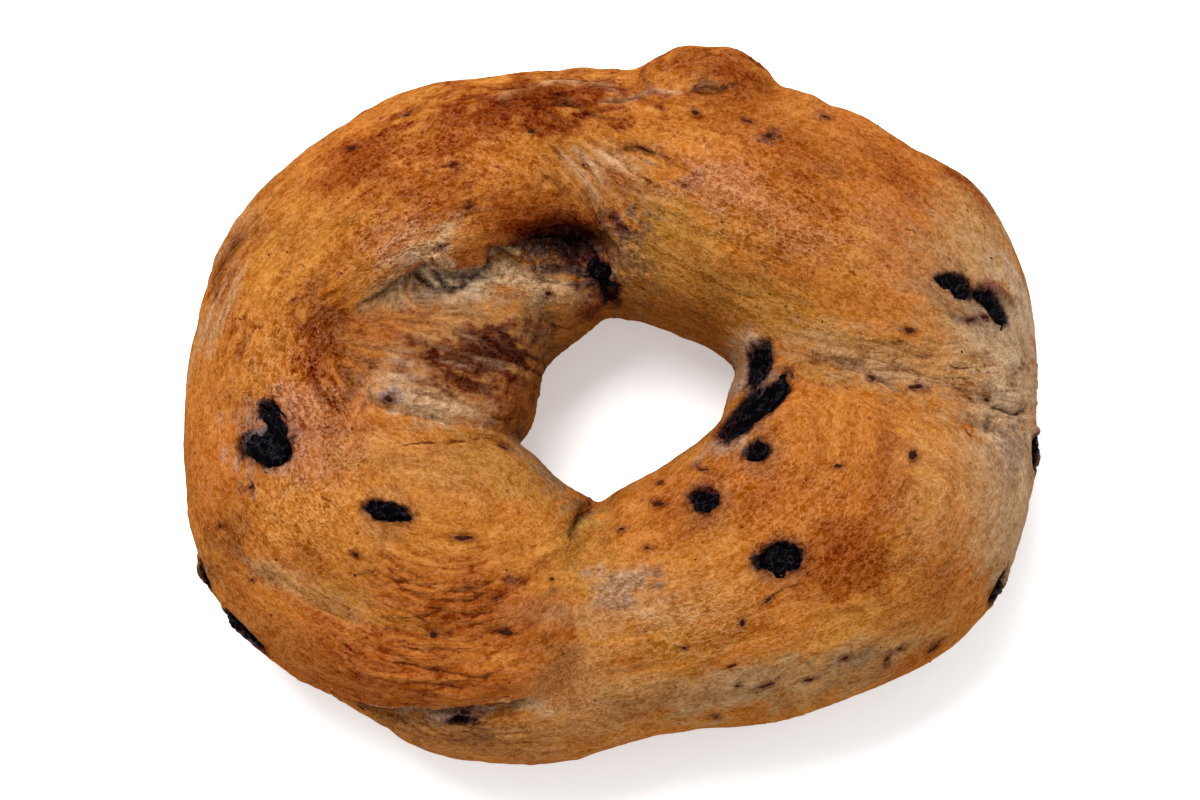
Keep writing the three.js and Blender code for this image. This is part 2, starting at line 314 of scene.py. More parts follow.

# Creases (or, with a depth below nought, ridges): path, depth and width in millimetres, and how
# dark the painted shade along its bottom is.
CREASES = [
    # wrinkles of the front-left turn
    ([(378, 660), (400, 663), (420, 668), (440, 671), (456, 674), (475, 677), (500, 675)], 0.3, 0.35, 0.9),
    ([(382, 646), (415, 649), (445, 650), (480, 649)], 0.15, 0.35, 0.5),
    ([(400, 682), (440, 686), (462, 688), (490, 685)], 0.15, 0.35, 0.6),
    ([(374, 694), (395, 701), (420, 704), (455, 705), (485, 702)], 0.15, 0.35, 0.5),
    ([(368, 619), (400, 618), (422, 618), (437, 612), (452, 606)], 0.2, 0.45, 0.6),
    ([(398, 566), (407, 571), (420, 577), (436, 577)], 0.2, 0.4, 0.6),
    ([(440, 625), (455, 621), (470, 621), (480, 614), (493, 612)], 0.2, 0.4, 0.7),
    ([(437, 598), (450, 592), (463, 588), (478, 589), (492, 580), (505, 573)], 0.2, 0.4, 0.5),
    ([(405, 606), (421, 602), (437, 605), (450, 600), (470, 602), (484, 597), (500, 598), (516, 592)],
     0.15, 0.4, 0.5),
    ([(470, 610), (485, 606), (497, 604), (512, 597)], 0.15, 0.4, 0.5),
    ([(337, 641), (345, 646), (355, 655)], 0.2, 0.4, 0.5),
    ([(500, 640), (520, 632), (540, 618), (552, 600)], 0.15, 0.4, 0.3),
    ([(360, 583), (375, 587), (390, 583), (405, 580), (420, 582)], 0.12, 0.35, 0.4),
    ([(450, 565), (470, 567), (490, 562), (505, 562)], 0.12, 0.35, 0.3),
    ([(345, 574), (362, 575), (380, 570)], 0.12, 0.35, 0.4),
    ([(290, 604), (310, 617), (330, 631), (350, 642)], 0.15, 0.4, 0.4),
    ([(300, 597), (325, 611), (345, 619), (366, 627)], 0.12, 0.4, 0.3),
    ([(232, 560), (264, 575), (295, 592), (323, 603), (358, 617), (392, 630)], 0.35, 1.2, 0.0),
    ([(318, 496), (333, 504), (345, 517)], 0.15, 0.35, 0.6),
    ([(387, 450), (421, 443), (460, 443), (485, 439), (502, 447)], 0.3, 0.4, 0.9),
    # where the front-left turn meets the front-right one
    ([(600, 505), (584, 513), (577, 528), (572, 542)], 0.9, 0.8, 0.5),
    # the fan of skin between the back turns
    ([(580, 190), (590, 200), (594, 212), (600, 226), (607, 250), (608, 280), (606, 305)], 0.5, 0.8, 0.6),
    ([(584, 150), (592, 165), (600, 182)], -0.25, 0.5, 0.0),
    ([(566, 150), (578, 170), (588, 190)], -0.2, 0.5, 0.0),
    ([(618, 151), (632, 146), (645, 149), (658, 154)], 0.35, 0.5, 0.8),
    ([(666, 160), (676, 166), (690, 172), (700, 176)], 0.15, 0.5, 0.4),
    ([(645, 198), (660, 205), (672, 212), (682, 215)], -0.25, 0.4, 0.0),
    # the back-left turn
    ([(500, 97), (520, 92), (540, 85), (560, 82), (580, 81), (600, 87), (616, 89)], -0.3, 0.5, 0.0),
    ([(538, 81), (560, 78), (580, 80), (598, 80), (612, 76), (640, 73)], 0.25, 0.4, 0.7),
    ([(555, 96), (570, 103), (582, 109), (600, 117), (625, 121)], 0.25, 0.45, 0.6),
    ([(600, 101), (612, 101), (630, 98), (650, 93), (668, 92)], 0.25, 0.4, 0.6),
    ([(420, 172), (436, 168), (452, 165), (462, 162)], 0.2, 0.4, 0.7),
    ([(200, 340), (215, 318), (232, 298), (248, 282)], -0.2, 0.4, 0.0),
    ([(230, 352), (245, 330), (262, 305), (275, 285), (288, 270)], -0.2, 0.4, 0.0),
    ([(207, 290), (214, 275), (224, 258), (235, 243), (248, 230)], 0.2, 0.4, 0.5),
    ([(206, 310), (216, 295), (226, 280), (238, 268)], 0.2, 0.4, 0.4),
    ([(218, 380), (224, 366), (228, 355)], 0.15, 0.4, 0.5),
    # the back-right turn
    ([(790, 187), (802, 194), (812, 201), (824, 207)], 0.15, 0.4, 0.5),
    ([(838, 261), (848, 269), (858, 276)], 0.15, 0.35, 0.5),
    ([(855, 285), (868, 295), (880, 307)], 0.15, 0.35, 0.5),
    ([(904, 229), (912, 230), (918, 234)], 0.15, 0.35, 0.6),
    ([(886, 240), (896, 242), (904, 244)], 0.12, 0.3, 0.6),
    ([(895, 258), (915, 256), (935, 254)], -0.15, 0.3, 0.0),
    ([(700, 275), (720, 285), (740, 295), (762, 301)], 0.12, 0.4, 0.3),
    ([(968, 283), (985, 287), (1003, 294), (1015, 303)], -0.5, 0.5, 0.0),
    # the drawn skin between the two turns on the right
    ([(989, 409), (998, 407), (1008, 411), (1016, 414), (1024, 411), (1030, 407)], 0.9, 0.3, 1.0),
    ([(992, 413), (989, 424), (988, 436)], 0.35, 0.4, 0.2),
    ([(1030, 414), (1035, 428), (1035, 443)], -0.5, 0.6, 0.0),
    ([(948, 364), (958, 369), (972, 367)], 0.25, 0.4, 0.8),
    ([(975, 369), (983, 373), (996, 374)], 0.2, 0.35, 0.7),
    ([(860, 357), (880, 361), (900, 368), (922, 376), (940, 383)], 0.2, 0.4, 0.4),
    ([(862, 343), (885, 346), (905, 352), (925, 358), (940, 359)], 0.2, 0.35, 0.4),
    ([(880, 335), (900, 341), (925, 343)], 0.15, 0.35, 0.4),
    ([(930, 374), (945, 381), (960, 390), (975, 401), (980, 406)], 0.2, 0.35, 0.5),
    ([(965, 428), (969, 434), (973, 440)], 0.2, 0.3, 0.8),
    ([(916, 428), (922, 432), (928, 437)], 0.2, 0.35, 0.6),
    ([(880, 381), (895, 391), (910, 402), (925, 411), (945, 418), (960, 422)], 0.25, 0.5, 0.3),
    ([(940, 345), (965, 342), (985, 343)], 0.12, 0.3, 0.4),
    ([(950, 355), (975, 356), (1005, 360)], 0.12, 0.3, 0.3),
    # the front-right turn
    ([(765, 602), (775, 594), (788, 588), (804, 584)], 0.3, 0.5, 0.7),
    # the knob
    ([(692, 89), (699, 84), (712, 82), (728, 86)], 0.45, 0.4, 0.7),
    ([(692, 90), (704, 94), (718, 93), (729, 87)], 0.45, 0.4, 0.7),
    ([(652, 60), (662, 66), (664, 76), (658, 88)], 0.15, 0.5, 0.2),
    # the strand into the hole
    ([(533, 318), (547, 322), (556, 328), (562, 332)], 0.3, 0.45, 0.8),
    ([(508, 404), (507, 392), (512, 380), (521, 371), (532, 367)], 0.2, 0.35, 0.5),
    ([(489, 415), (500, 419), (515, 417), (524, 409)], 0.25, 0.4, 0.7),
    ([(404, 287), (430, 282), (456, 276), (486, 272), (508, 280)], 0.5, 0.9, 0.3),
]


# Where each berry shows through the crust, as ovals of the picture. The crust has crept over
# the rest of it.
OPENINGS = {
    "berry_1": [(267, 411, 10, 11, 0), (273, 430, 11, 14, 0), (264, 447, 26, 14, -5),
                (273, 457, 14, 9, 10)],
    "berry_2": [(387, 511, 22, 9, -10)],
    "berry_3": [(759, 364, 25, 14, 60)],
    "berry_4": [(768, 394, 27, 15, 42), (742, 408, 30, 20, 42), (728, 426, 16, 15, 40)],
    "berry_5": [(757, 450, 15, 11, -10)],
    "berry_6": [(706, 500, 14, 13, 0), (694, 493, 10, 6, -15)],
    "berry_7": [(779, 558, 23, 15, 12)],
    "berry_8": [(953, 280, 18, 7, -8), (963, 290, 12, 8, -20)],
    "berry_9": [(988, 298, 14, 8, -35), (1003, 311, 16, 9, -52)],
    "berry_10": [(1034, 451, 12, 18, 0)],
    "berry_11": [(995, 583, 10, 20, -10)],
    "berry_12": [(211, 574, 17, 12, -60)],
    "berry_13": [(249, 629, 28, 14, -48)],
    "berry_14": [(461, 718, 18, 8, -5)],
    "berry_15": [(600, 272, 8, 13, 25), (611, 292, 11, 8, 30)],
}
SUNK = {"berry_14": 1.3}    # mm that a berry's top lies under the skin round it
FLATTENING = 0.75           # how much of what stands further out is pressed in
COLLAR = 0.12 * MM          # how high the crust stands round an opening
COVER = 0.15 * MM           # how thick it is over the rest of the berry
SHALLOWEST = 0.4 * MM       # an opening is at least this deep
UNDER_MIDDLE = 0.3 * MM     # and reaches this far under the berry's middle
FRAY_SIZE = 1.2 * MM        # the size of the notches in an opening's edge
# the skin that a berry lies in, in berry sizes from its middle: what gives its direction, what
# gives its level, and where the levelling fades out
DIRECTION_REACH = 1.7
LEVEL_REACH = (1.5, 2.6)
FADE = (1.4, 1.9)
SAME_WAY = 0.2              # skin that turns further away from the berry's direction isn't moved


# A berry's seat is its middle, its outward direction, its two long directions, and the curve of
# the crust over it.
def crust_height(seat, spots):
    """How high the crust lies over a berry's middle at some spots."""
    middle, _, turns, curve = seat
    return curved_terms(*((spots - middle) @ turns.T).T) @ curve


def pressed(name, seat, spots, height):
    """A height over a berry's middle, after its top was pressed into the crust."""
    limit = crust_height(seat, spots) - SUNK.get(name, 0) * MM
    return height - FLATTENING * np.maximum(height - limit, 0)


def settle(name):
    """Levels the skin over a berry's plug, opens it where the berry shows, and gives its seat."""
    berry = places_of(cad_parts[name].data)
    middle = berry.mean(axis=0)
    reach = np.linalg.norm(berry - middle, axis=1).max()
    away = np.linalg.norm(places - middle, axis=1)
    outward = normals[away < DIRECTION_REACH * reach].mean(axis=0)
    outward /= np.linalg.norm(outward)
    height = (berry - middle) @ outward
    flat = berry - middle - np.outer(height, outward)
    _, _, turns = np.linalg.svd(flat, full_matrices=False)
    half_sizes = np.abs(flat @ turns[:2].T).max(axis=0)
    near = np.nonzero((away < LEVEL_REACH[1] * reach) & (normals @ outward > SAME_WAY))[0]
    spots = places[near]
    offset = spots - middle
    u, v = (offset @ turns[:2].T).T
    ring_share = np.hypot(u / half_sizes[0], v / half_sizes[1])
    terms = curved_terms(u, v)
    around = (ring_share > LEVEL_REACH[0]) & (ring_share < LEVEL_REACH[1])
    curve = np.linalg.lstsq(terms[around], (offset @ outward)[around], rcond=None)[0]
    seat = (middle, outward, turns[:2], curve)
    level = terms @ curve
    uneven = noise_at(spots / FRAY_SIZE)
    window = np.min([oval_reach(flat_places[near], *oval) for oval in OPENINGS[name]], axis=0)
    opened = 1 - smoothstep(0.8, 1.15, window + 0.25 * uneven)
    berry_top = height.max() * np.sqrt(np.clip(1 - ring_share ** 2, 0, 1))
    covered = np.maximum(level, pressed(name, seat, spots, berry_top) + COVER)
    covered += COLLAR * np.exp(-((window - 1.2) / 0.2) ** 2)
    beyond = smoothstep(0.9, 1.2, ring_share)
    depth = max(SHALLOWEST, curve[0] + UNDER_MIDDLE) * (1 - beyond) + SHALLOWEST * beyond
    sunk = opened * (level - depth) + (1 - opened) * covered
    share = 1 - smoothstep(*FADE, ring_share)
    places[near] += np.outer(share * (sunk - offset @ outward), outward)
    pits[near] = np.maximum(pits[near], share * opened)
    stained = 1 - smoothstep(0.9, 1.7, window + 0.35 * uneven)
    stains[near] = np.maximum(stains[near], share * stained)
    return seat


pits = np.zeros(len(places))            # 1 where a berry shows or lies in the shadow of its pocket
stains = np.zeros(len(places))          # 1 where one shows dark through the crust over it
seats = {name: settle(name) for name in BERRIES}
dough.data.vertices.foreach_set("co", places.ravel())
dough.data.update()
normals = normals_of(dough.data)

# how far the skin is raised, and how far its lines stray to either side, in millimetres
lift = np.zeros(len(places))
waver = 0.18 * blots(2.5)
LIP_EDGE = 0.5              # mm from a lap's line over which its lip rises
SHADE_SHIFT = 0.15            # mm by which the painted shade of a lap lies under the lip
LINE_SPREAD = 4             # how many times its width the skin either side of a line is moved
LAP_RUN_OUT, CREASE_RUN_OUT = 0.15, 0.2     # the share of a line over which it fades at each end
LINE_REACH = 1.5            # mm either side of a line that its painted shade is drawn from
line_gap = np.full(len(places), LINE_REACH)
line_shade = np.zeros(len(places))


def draw_line(near, distance, shade_darkness):
    """Keeps the signed distance to the nearest line, from which the painted shade along its bottom is
    drawn.
    """
    closer = np.abs(distance) < np.abs(line_gap[near])
    line_gap[near[closer]] = distance[closer]
    line_shade[near[closer]] = shade_darkness[closer]


def line_spots(path, width, run_out):
    """The spots near a line: their distance from it, the share along it, and how it fades."""
    near = near_path(path, LINE_SPREAD * width)
    distance, along = beside(path, flat_places[near])
    ease = smoothstep(0, run_out, np.minimum(along, 1 - along)) * seen[near]
    return near, distance + waver[near], along, ease


for path, rise, roll, dip, trough, start_shade, end_shade in LAPS:
    near, distance, along, ease = line_spots(path, max(roll, trough), LAP_RUN_OUT)
    upper = rise * (1 - np.exp(-distance / LIP_EDGE)) * np.exp(-((distance / (2 * roll)) ** 2))
    lower = -dip * np.exp(distance / trough)
    lift[near] += ease * np.where(distance > 0, upper, lower)
    draw_line(near, distance + SHADE_SHIFT, (start_shade + (end_shade - start_shade) * along) * ease)
broken = smoothstep(-0.5, 0.3, blots(2, 2, 8.8))
for path, depth, width, shade_darkness in CREASES:
    near, distance, _, ease = line_spots(path, width, CREASE_RUN_OUT)
    lift[near] -= ease * depth * np.exp(-((distance / width) ** 2))
    if shade_darkness > 0:
        draw_line(near, distance, shade_darkness * ease * broken[near])

# fine wrinkles run along the pull of the dough, which these lines give
PULL = [
    [(215, 480), (205, 400), (215, 320), (250, 250), (310, 190), (390, 140), (480, 108), (640, 92)],
    [(345, 440), (305, 385), (312, 330), (350, 296), (420, 250), (490, 222), (560, 214), (600, 245)],
    [(640, 100), (740, 120), (840, 150), (920, 200), (980, 270), (1020, 360)],
    [(480, 118), (530, 138), (566, 168), (590, 200), (606, 240)],
    [(540, 112), (590, 140), (650, 172), (720, 200), (800, 235), (880, 275), (950, 322), (1030, 370)],
    [(612, 240), (680, 280), (740, 322), (800, 345), (900, 362), (1035, 385)],
    [(800, 370), (880, 400), (930, 425), (985, 470), (960, 540), (880, 600), (750, 655), (600, 690)],
    [(600, 610), (700, 590), (790, 540), (850, 470), (850, 410)],
    [(600, 520), (650, 490), (700, 445), (760, 395)],
    [(215, 400), (222, 480), (262, 560), (350, 622), (440, 652), (520, 642), (562, 610)],
    [(310, 450), (325, 500), (380, 560), (460, 580), (540, 552), (592, 520)],
    [(372, 410), (450, 425), (510, 440), (560, 490)],
    [(300, 655), (370, 690), (450, 697), (530, 682)],
    [(345, 705), (400, 737), (450, 755), (513, 758), (620, 740), (760, 715)],
    [(350, 330), (430, 345), (500, 365), (540, 380)],
    [(380, 395), (440, 405), (500, 425)],
    [(420, 290), (500, 295), (590, 306)],
    [(640, 88), (681, 55), (730, 55), (790, 95)],
]
across_pull = np.full(len(places), np.inf)
pulled = np.zeros(len(places))          # 1 where the pull shows, 0 past the ends of its lines
for path in PULL:
    distance, along = beside(path, flat_places)
    distance = np.abs(distance)
    past_end = np.where((along <= 0) | (along >= 1), smoothstep(0.5, 3, distance), 0)
    nearer = distance < across_pull
    across_pull[nearer] = distance[nearer]
    pulled[nearer] = 1 - past_end[nearer]
across_pull = painted * across_pull + (1 - painted) * places[:, 2] / MM


def fibres(width, length, shift=0.0):
    """Noise drawn out along the pull of the dough, from about -1 to 1."""
    slow = places[:, :2] / (length * MM)
    return noise_at(np.column_stack((across_pull / width + shift, slow)))


warp = np.column_stack((blots(7, 3, 5.1), blots(7, 3, 9.7)))
warped_places = flat_places + 1.3 * warp
fray = fibres(0.9, 4, 6.6) + 0.8 * blots(1.6, 3, 2.9)
RAGGED, SOFT = 0.8, 0.4     # how far the fray breaks up the edge of a patch
STROKE_FRAY = 0.3           # and of a stroke, in its widths


def patch_cover(across, down, half_width, half_height, tilt, raggedness=SOFT):
    """How much of an oval patch of the picture covers each spot, with a soft uneven edge."""
    reach = oval_reach(warped_places, across, down, half_width, half_height, tilt)
    return (1 - smoothstep(0.4, 1.3, reach + raggedness * fray)) * painted


def stroke_cover(path, width):
    """The spots near a path, and how much a frayed stroke along it covers each."""
    near = near_path(path, 3 * width)
    distance, _ = beside(path, flat_places[near])
    frayed = distance + STROKE_FRAY * width * fray[near]
    return near, np.exp(-((frayed / width) ** 2)) * seen[near]


def blended(base, areas):
    """A value that is `base` all over, and goes over to each area's own value inside it."""
    value = np.full(len(places), float(base))
    for inside, *area in areas:
        value += patch_cover(*area) * (inside - value)
    return value


# Values of the skin by area: the value, then middle, half size and tilt, in picture points.
# How deep its wrinkles are, in millimetres.
wrinkling = blended(0.09, [
    (0.14, 780, 200, 220, 100, -25),
    (0.10, 850, 500, 160, 120, 0),
    (0.16, 300, 230, 150, 120, 40),
    (0.14, 700, 620, 120, 60, 0),
    (0.46, 440, 615, 104, 66, 8),
    (0.34, 440, 675, 130, 36, -4),
    (0.16, 300, 580, 80, 40, -30),
    (0.26, 900, 368, 150, 34, -8),
    (0.30, 1000, 400, 50, 60, 0),
    (0.26, 450, 350, 95, 60, -12),
    (0.22, 310, 400, 80, 90, 0),
    (0.34, 570, 100, 140, 30, 0),
    (0.26, 700, 66, 60, 24, 0),
    (0.24, 450, 200, 90, 50, 15),
    (0.28, 610, 180, 70, 50, 0),
    (0.28, 225, 300, 26, 90, 20),
    (0.12, 980, 500, 60, 90, 0),
    (0.24, 480, 735, 120, 26, -8),
    (0.14, 560, 640, 60, 60, 0),
])

# How far the oven browned it.
browned = blended(0.16, [
    (0.85, 520, 108, 120, 36, 4),
    (0.95, 545, 92, 34, 14, 0),
    (0.75, 450, 135, 70, 28, 14),
    (0.85, 360, 160, 56, 34, 25),
    (0.65, 420, 190, 60, 30, 15),
    (0.60, 362, 240, 40, 22, 20),
    (0.85, 335, 345, 34, 56, 0),
    (0.95, 340, 322, 16, 16, 0),
    (0.90, 312, 368, 18, 16, 0),
    (0.75, 520, 205, 70, 28, 6),
    (1.00, 552, 222, 56, 12, 4),
    (0.60, 225, 262, 14, 36, -30),
    (0.55, 270, 180, 30, 14, 40),
    (0.50, 742, 118, 80, 30, -15),
    (0.55, 790, 150, 60, 22, -20),
    (0.55, 890, 165, 50, 20, -35),
    (0.50, 775, 265, 80, 32, -25),
    (0.50, 800, 203, 60, 20, -25),
    (0.70, 958, 178, 28, 8, -35),
    (0.55, 622, 190, 26, 10, -20),
    (0.50, 650, 190, 18, 9, 0),
    (0.30, 700, 312, 60, 12, -25),
    (0.95, 852, 560, 60, 50, 15),
    (0.60, 888, 480, 26, 74, 0),
    (0.50, 935, 580, 30, 24, 40),
    (0.60, 690, 520, 44, 30, 30),
    (0.35, 760, 500, 60, 40, 0),
    (0.65, 475, 604, 66, 28, 10),
    (0.40, 510, 628, 50, 22, 10),
    (0.35, 450, 684, 130, 28, -2),
    (0.50, 560, 648, 18, 42, 0),
    (0.35, 320, 640, 44, 24, -35),
    (0.45, 320, 565, 40, 10, -30),
    (0.40, 470, 746, 110, 18, -8),
    (0.50, 230, 520, 26, 40, -10),
    (0.45, 384, 340, 40, 16, 0),
    (0.85, 440, 354, 28, 10, 0),
    (0.80, 468, 333, 28, 8, 0),
    (0.95, 492, 352, 26, 16, 0),
    (0.90, 458, 380, 30, 10, -10),
    (0.60, 512, 396, 20, 30, 0),
    (0.60, 530, 382, 10, 28, -20),
    (0.65, 710, 64, 60, 22, 0),
    (0.65, 745, 98, 44, 20, -15),
])

# How crazed it is, with a net of fine ridges that carry painted highlights.
crazed = blended(0.35, [
    (1.0, 300, 400, 60, 100, 0),
    (1.0, 400, 245, 70, 50, 20),
    (0.7, 450, 150, 110, 40, 10),
    (0.9, 760, 205, 110, 54, -25),
    (0.6, 770, 500, 90, 60, 0),
    (0.6, 850, 540, 70, 60, 0),
    (0.2, 430, 600, 130, 60, -5),
    (0.8, 300, 510, 60, 50, 0),
    (0.6, 700, 620, 90, 40, 0),
    (0.15, 450, 680, 110, 30, 0),
    (0.2, 460, 350, 100, 60, 0),
])

# Where it tore, and the rough crumb shows.
torn = blended(0.0, [
    (0.8, 452, 280, 56, 12, 6),
    (1.0, 440, 266, 20, 18, -40),
    (0.8, 552, 256, 40, 20, -12),
    (0.7, 510, 276, 30, 16, 0),
    (1.0, 600, 275, 18, 34, 25),
    (0.4, 540, 292, 44, 16, -15),
    (0.5, 622, 222, 28, 14, -20),
    (0.5, 630, 262, 24, 36, 0),
    (0.6, 470, 717, 60, 9, -3),
    (0.3, 1008, 440, 22, 30, 0),
    (0.45, 622, 588, 32, 20, 0),
    (0.3, 430, 400, 60, 20, -12),
    (0.3, 970, 380, 60, 20, -20),
    (0.3, 472, 352, 56, 24, 0),
])

# Flakes of torn skin that stand up from the crumb: height and half width in millimetres, path.
FLAKES = [
    (0.6, 0.50, [(428, 260), (438, 269), (452, 281)]),
    (0.6, 0.50, [(438, 256), (447, 264), (456, 274)]),
    (0.5, 0.40, [(421, 268), (430, 277), (438, 283)]),
    (0.4, 0.35, [(448, 256), (454, 263)]),
    (0.3, 0.30, [(470, 284), (484, 282), (496, 278)]),
    (0.2, 0.22, [(492, 256), (499, 251), (509, 249), (519, 252)]),
]
flaked = np.zeros(len(places))
for height, width, path in FLAKES:
    near, flake = stroke_cover(path, width)
    lift[near] += height * flake
    flaked[near] = np.maximum(flaked[near], flake)
torn *= 1 - 0.8 * flaked

# the relief of the skin: sharp folds with broader wrinkles among them, low swells, the coarser
# swells of the sides that the view doesn't show, and the rough crumb
FOLD_RISE, FOLD_DROP = 2.2, 0.7     # of the depth: from a fold's bottom up, and down to it
BROAD_WRINKLES = 0.6                # of the depth
SWELL, BUMP, SIDE_SWELL, CRUMB_ROUGHNESS = 0.25, 0.07, 0.5, 0.5     # mm
wrinkles = fibres(1.1, 7)
lift += wrinkling * (FOLD_RISE * np.abs(wrinkles) - FOLD_DROP)
lift += BROAD_WRINKLES * wrinkling * fibres(2.4, 9, 3.3)
lift += SWELL * blots(9, 2, 2.2) + BUMP * blots(1.8, 3, 7.9)
lift += SIDE_SWELL * (1 - seen) * (blots(14, 2, 3.1) + 0.4 * fibres(5, 30, 1.7))
lift += CRUMB_ROUGHNESS * torn * blots(1.3, 3, 5.5)

# where the baked dough has swollen: by how many millimetres, then an oval of the picture
SWELLINGS = [
    (0.5, 662, 62, 34, 22, 30),
    (0.5, 750, 62, 30, 20, -35),
    (0.4, 712, 50, 36, 16, 0),
    (1.2, 800, 97, 28, 16, -25),
    (0.4, 575, 335, 34, 24, 40),
    (0.4, 604, 500, 24, 14, 0),
    (0.4, 725, 395, 20, 34, -10),
]
for swelling, *oval in SWELLINGS:
    lift += swelling * (1 - smoothstep(0.3, 1.3, oval_reach(flat_places, *oval)))

# and the wall of the hole stands a little further in
HOLE_MIDDLE = np.array((1.1, -1.1)) * MM
HOLE_REACH = (22 * MM, 27 * MM)
WALL_SWELLING = 0.4         # mm
inwards = HOLE_MIDDLE - places[:, :2]
to_middle = np.linalg.norm(inwards, axis=1)
turned_in = np.sum(normals[:, :2] * inwards, axis=1) / to_middle
lift += WALL_SWELLING * smoothstep(0.2, 0.9, turned_in) * (1 - smoothstep(*HOLE_REACH, to_middle))

moved = places + normals * (lift * MM)[:, None]
moved[:, 2] = np.maximum(moved[:, 2], 0)            # the flat base stays flat
dough.data.vertices.foreach_set("co", moved.ravel())

# The colours of the crust, from the paler pulled stretches to the browned high places.
PIGMENTS = {
    "gold": (202, 128, 46),
    "honey": (198, 133, 66),
    "orange": (188, 104, 36),
    "russet": (154, 70, 24),
    "bark": (112, 62, 26),
    "umber": (82, 42, 20),
    "maroon": (88, 24, 14),
    "wheat": (184, 132, 74),
    "tan": (196, 154, 104),
    "cream": (214, 175, 130),
    "pink": (182, 112, 68),
    "olive": (174, 118, 42),
    "ash": (182, 150, 122),
    "grey": (126, 100, 72),
    "lilac": (160, 138, 138),
    "plum": (84, 60, 58),
    # the colour of painted shade in the hollow and in rents
    "deep_shade": (32, 19, 16),
    "black": (12, 8, 10),
    "chalk": (228, 192, 142),
}


STUDIO_SHARE = 0.57         # the studio is so bright that this share of a pigment shows it as it looks


def linear(red, green, blue):
    """The linear colour of a pigment given as it looks on a screen."""
    return tuple(STUDIO_SHARE * ((value / 255 + 0.055) / 1.055) ** 2.4 for value in (red, green, blue))


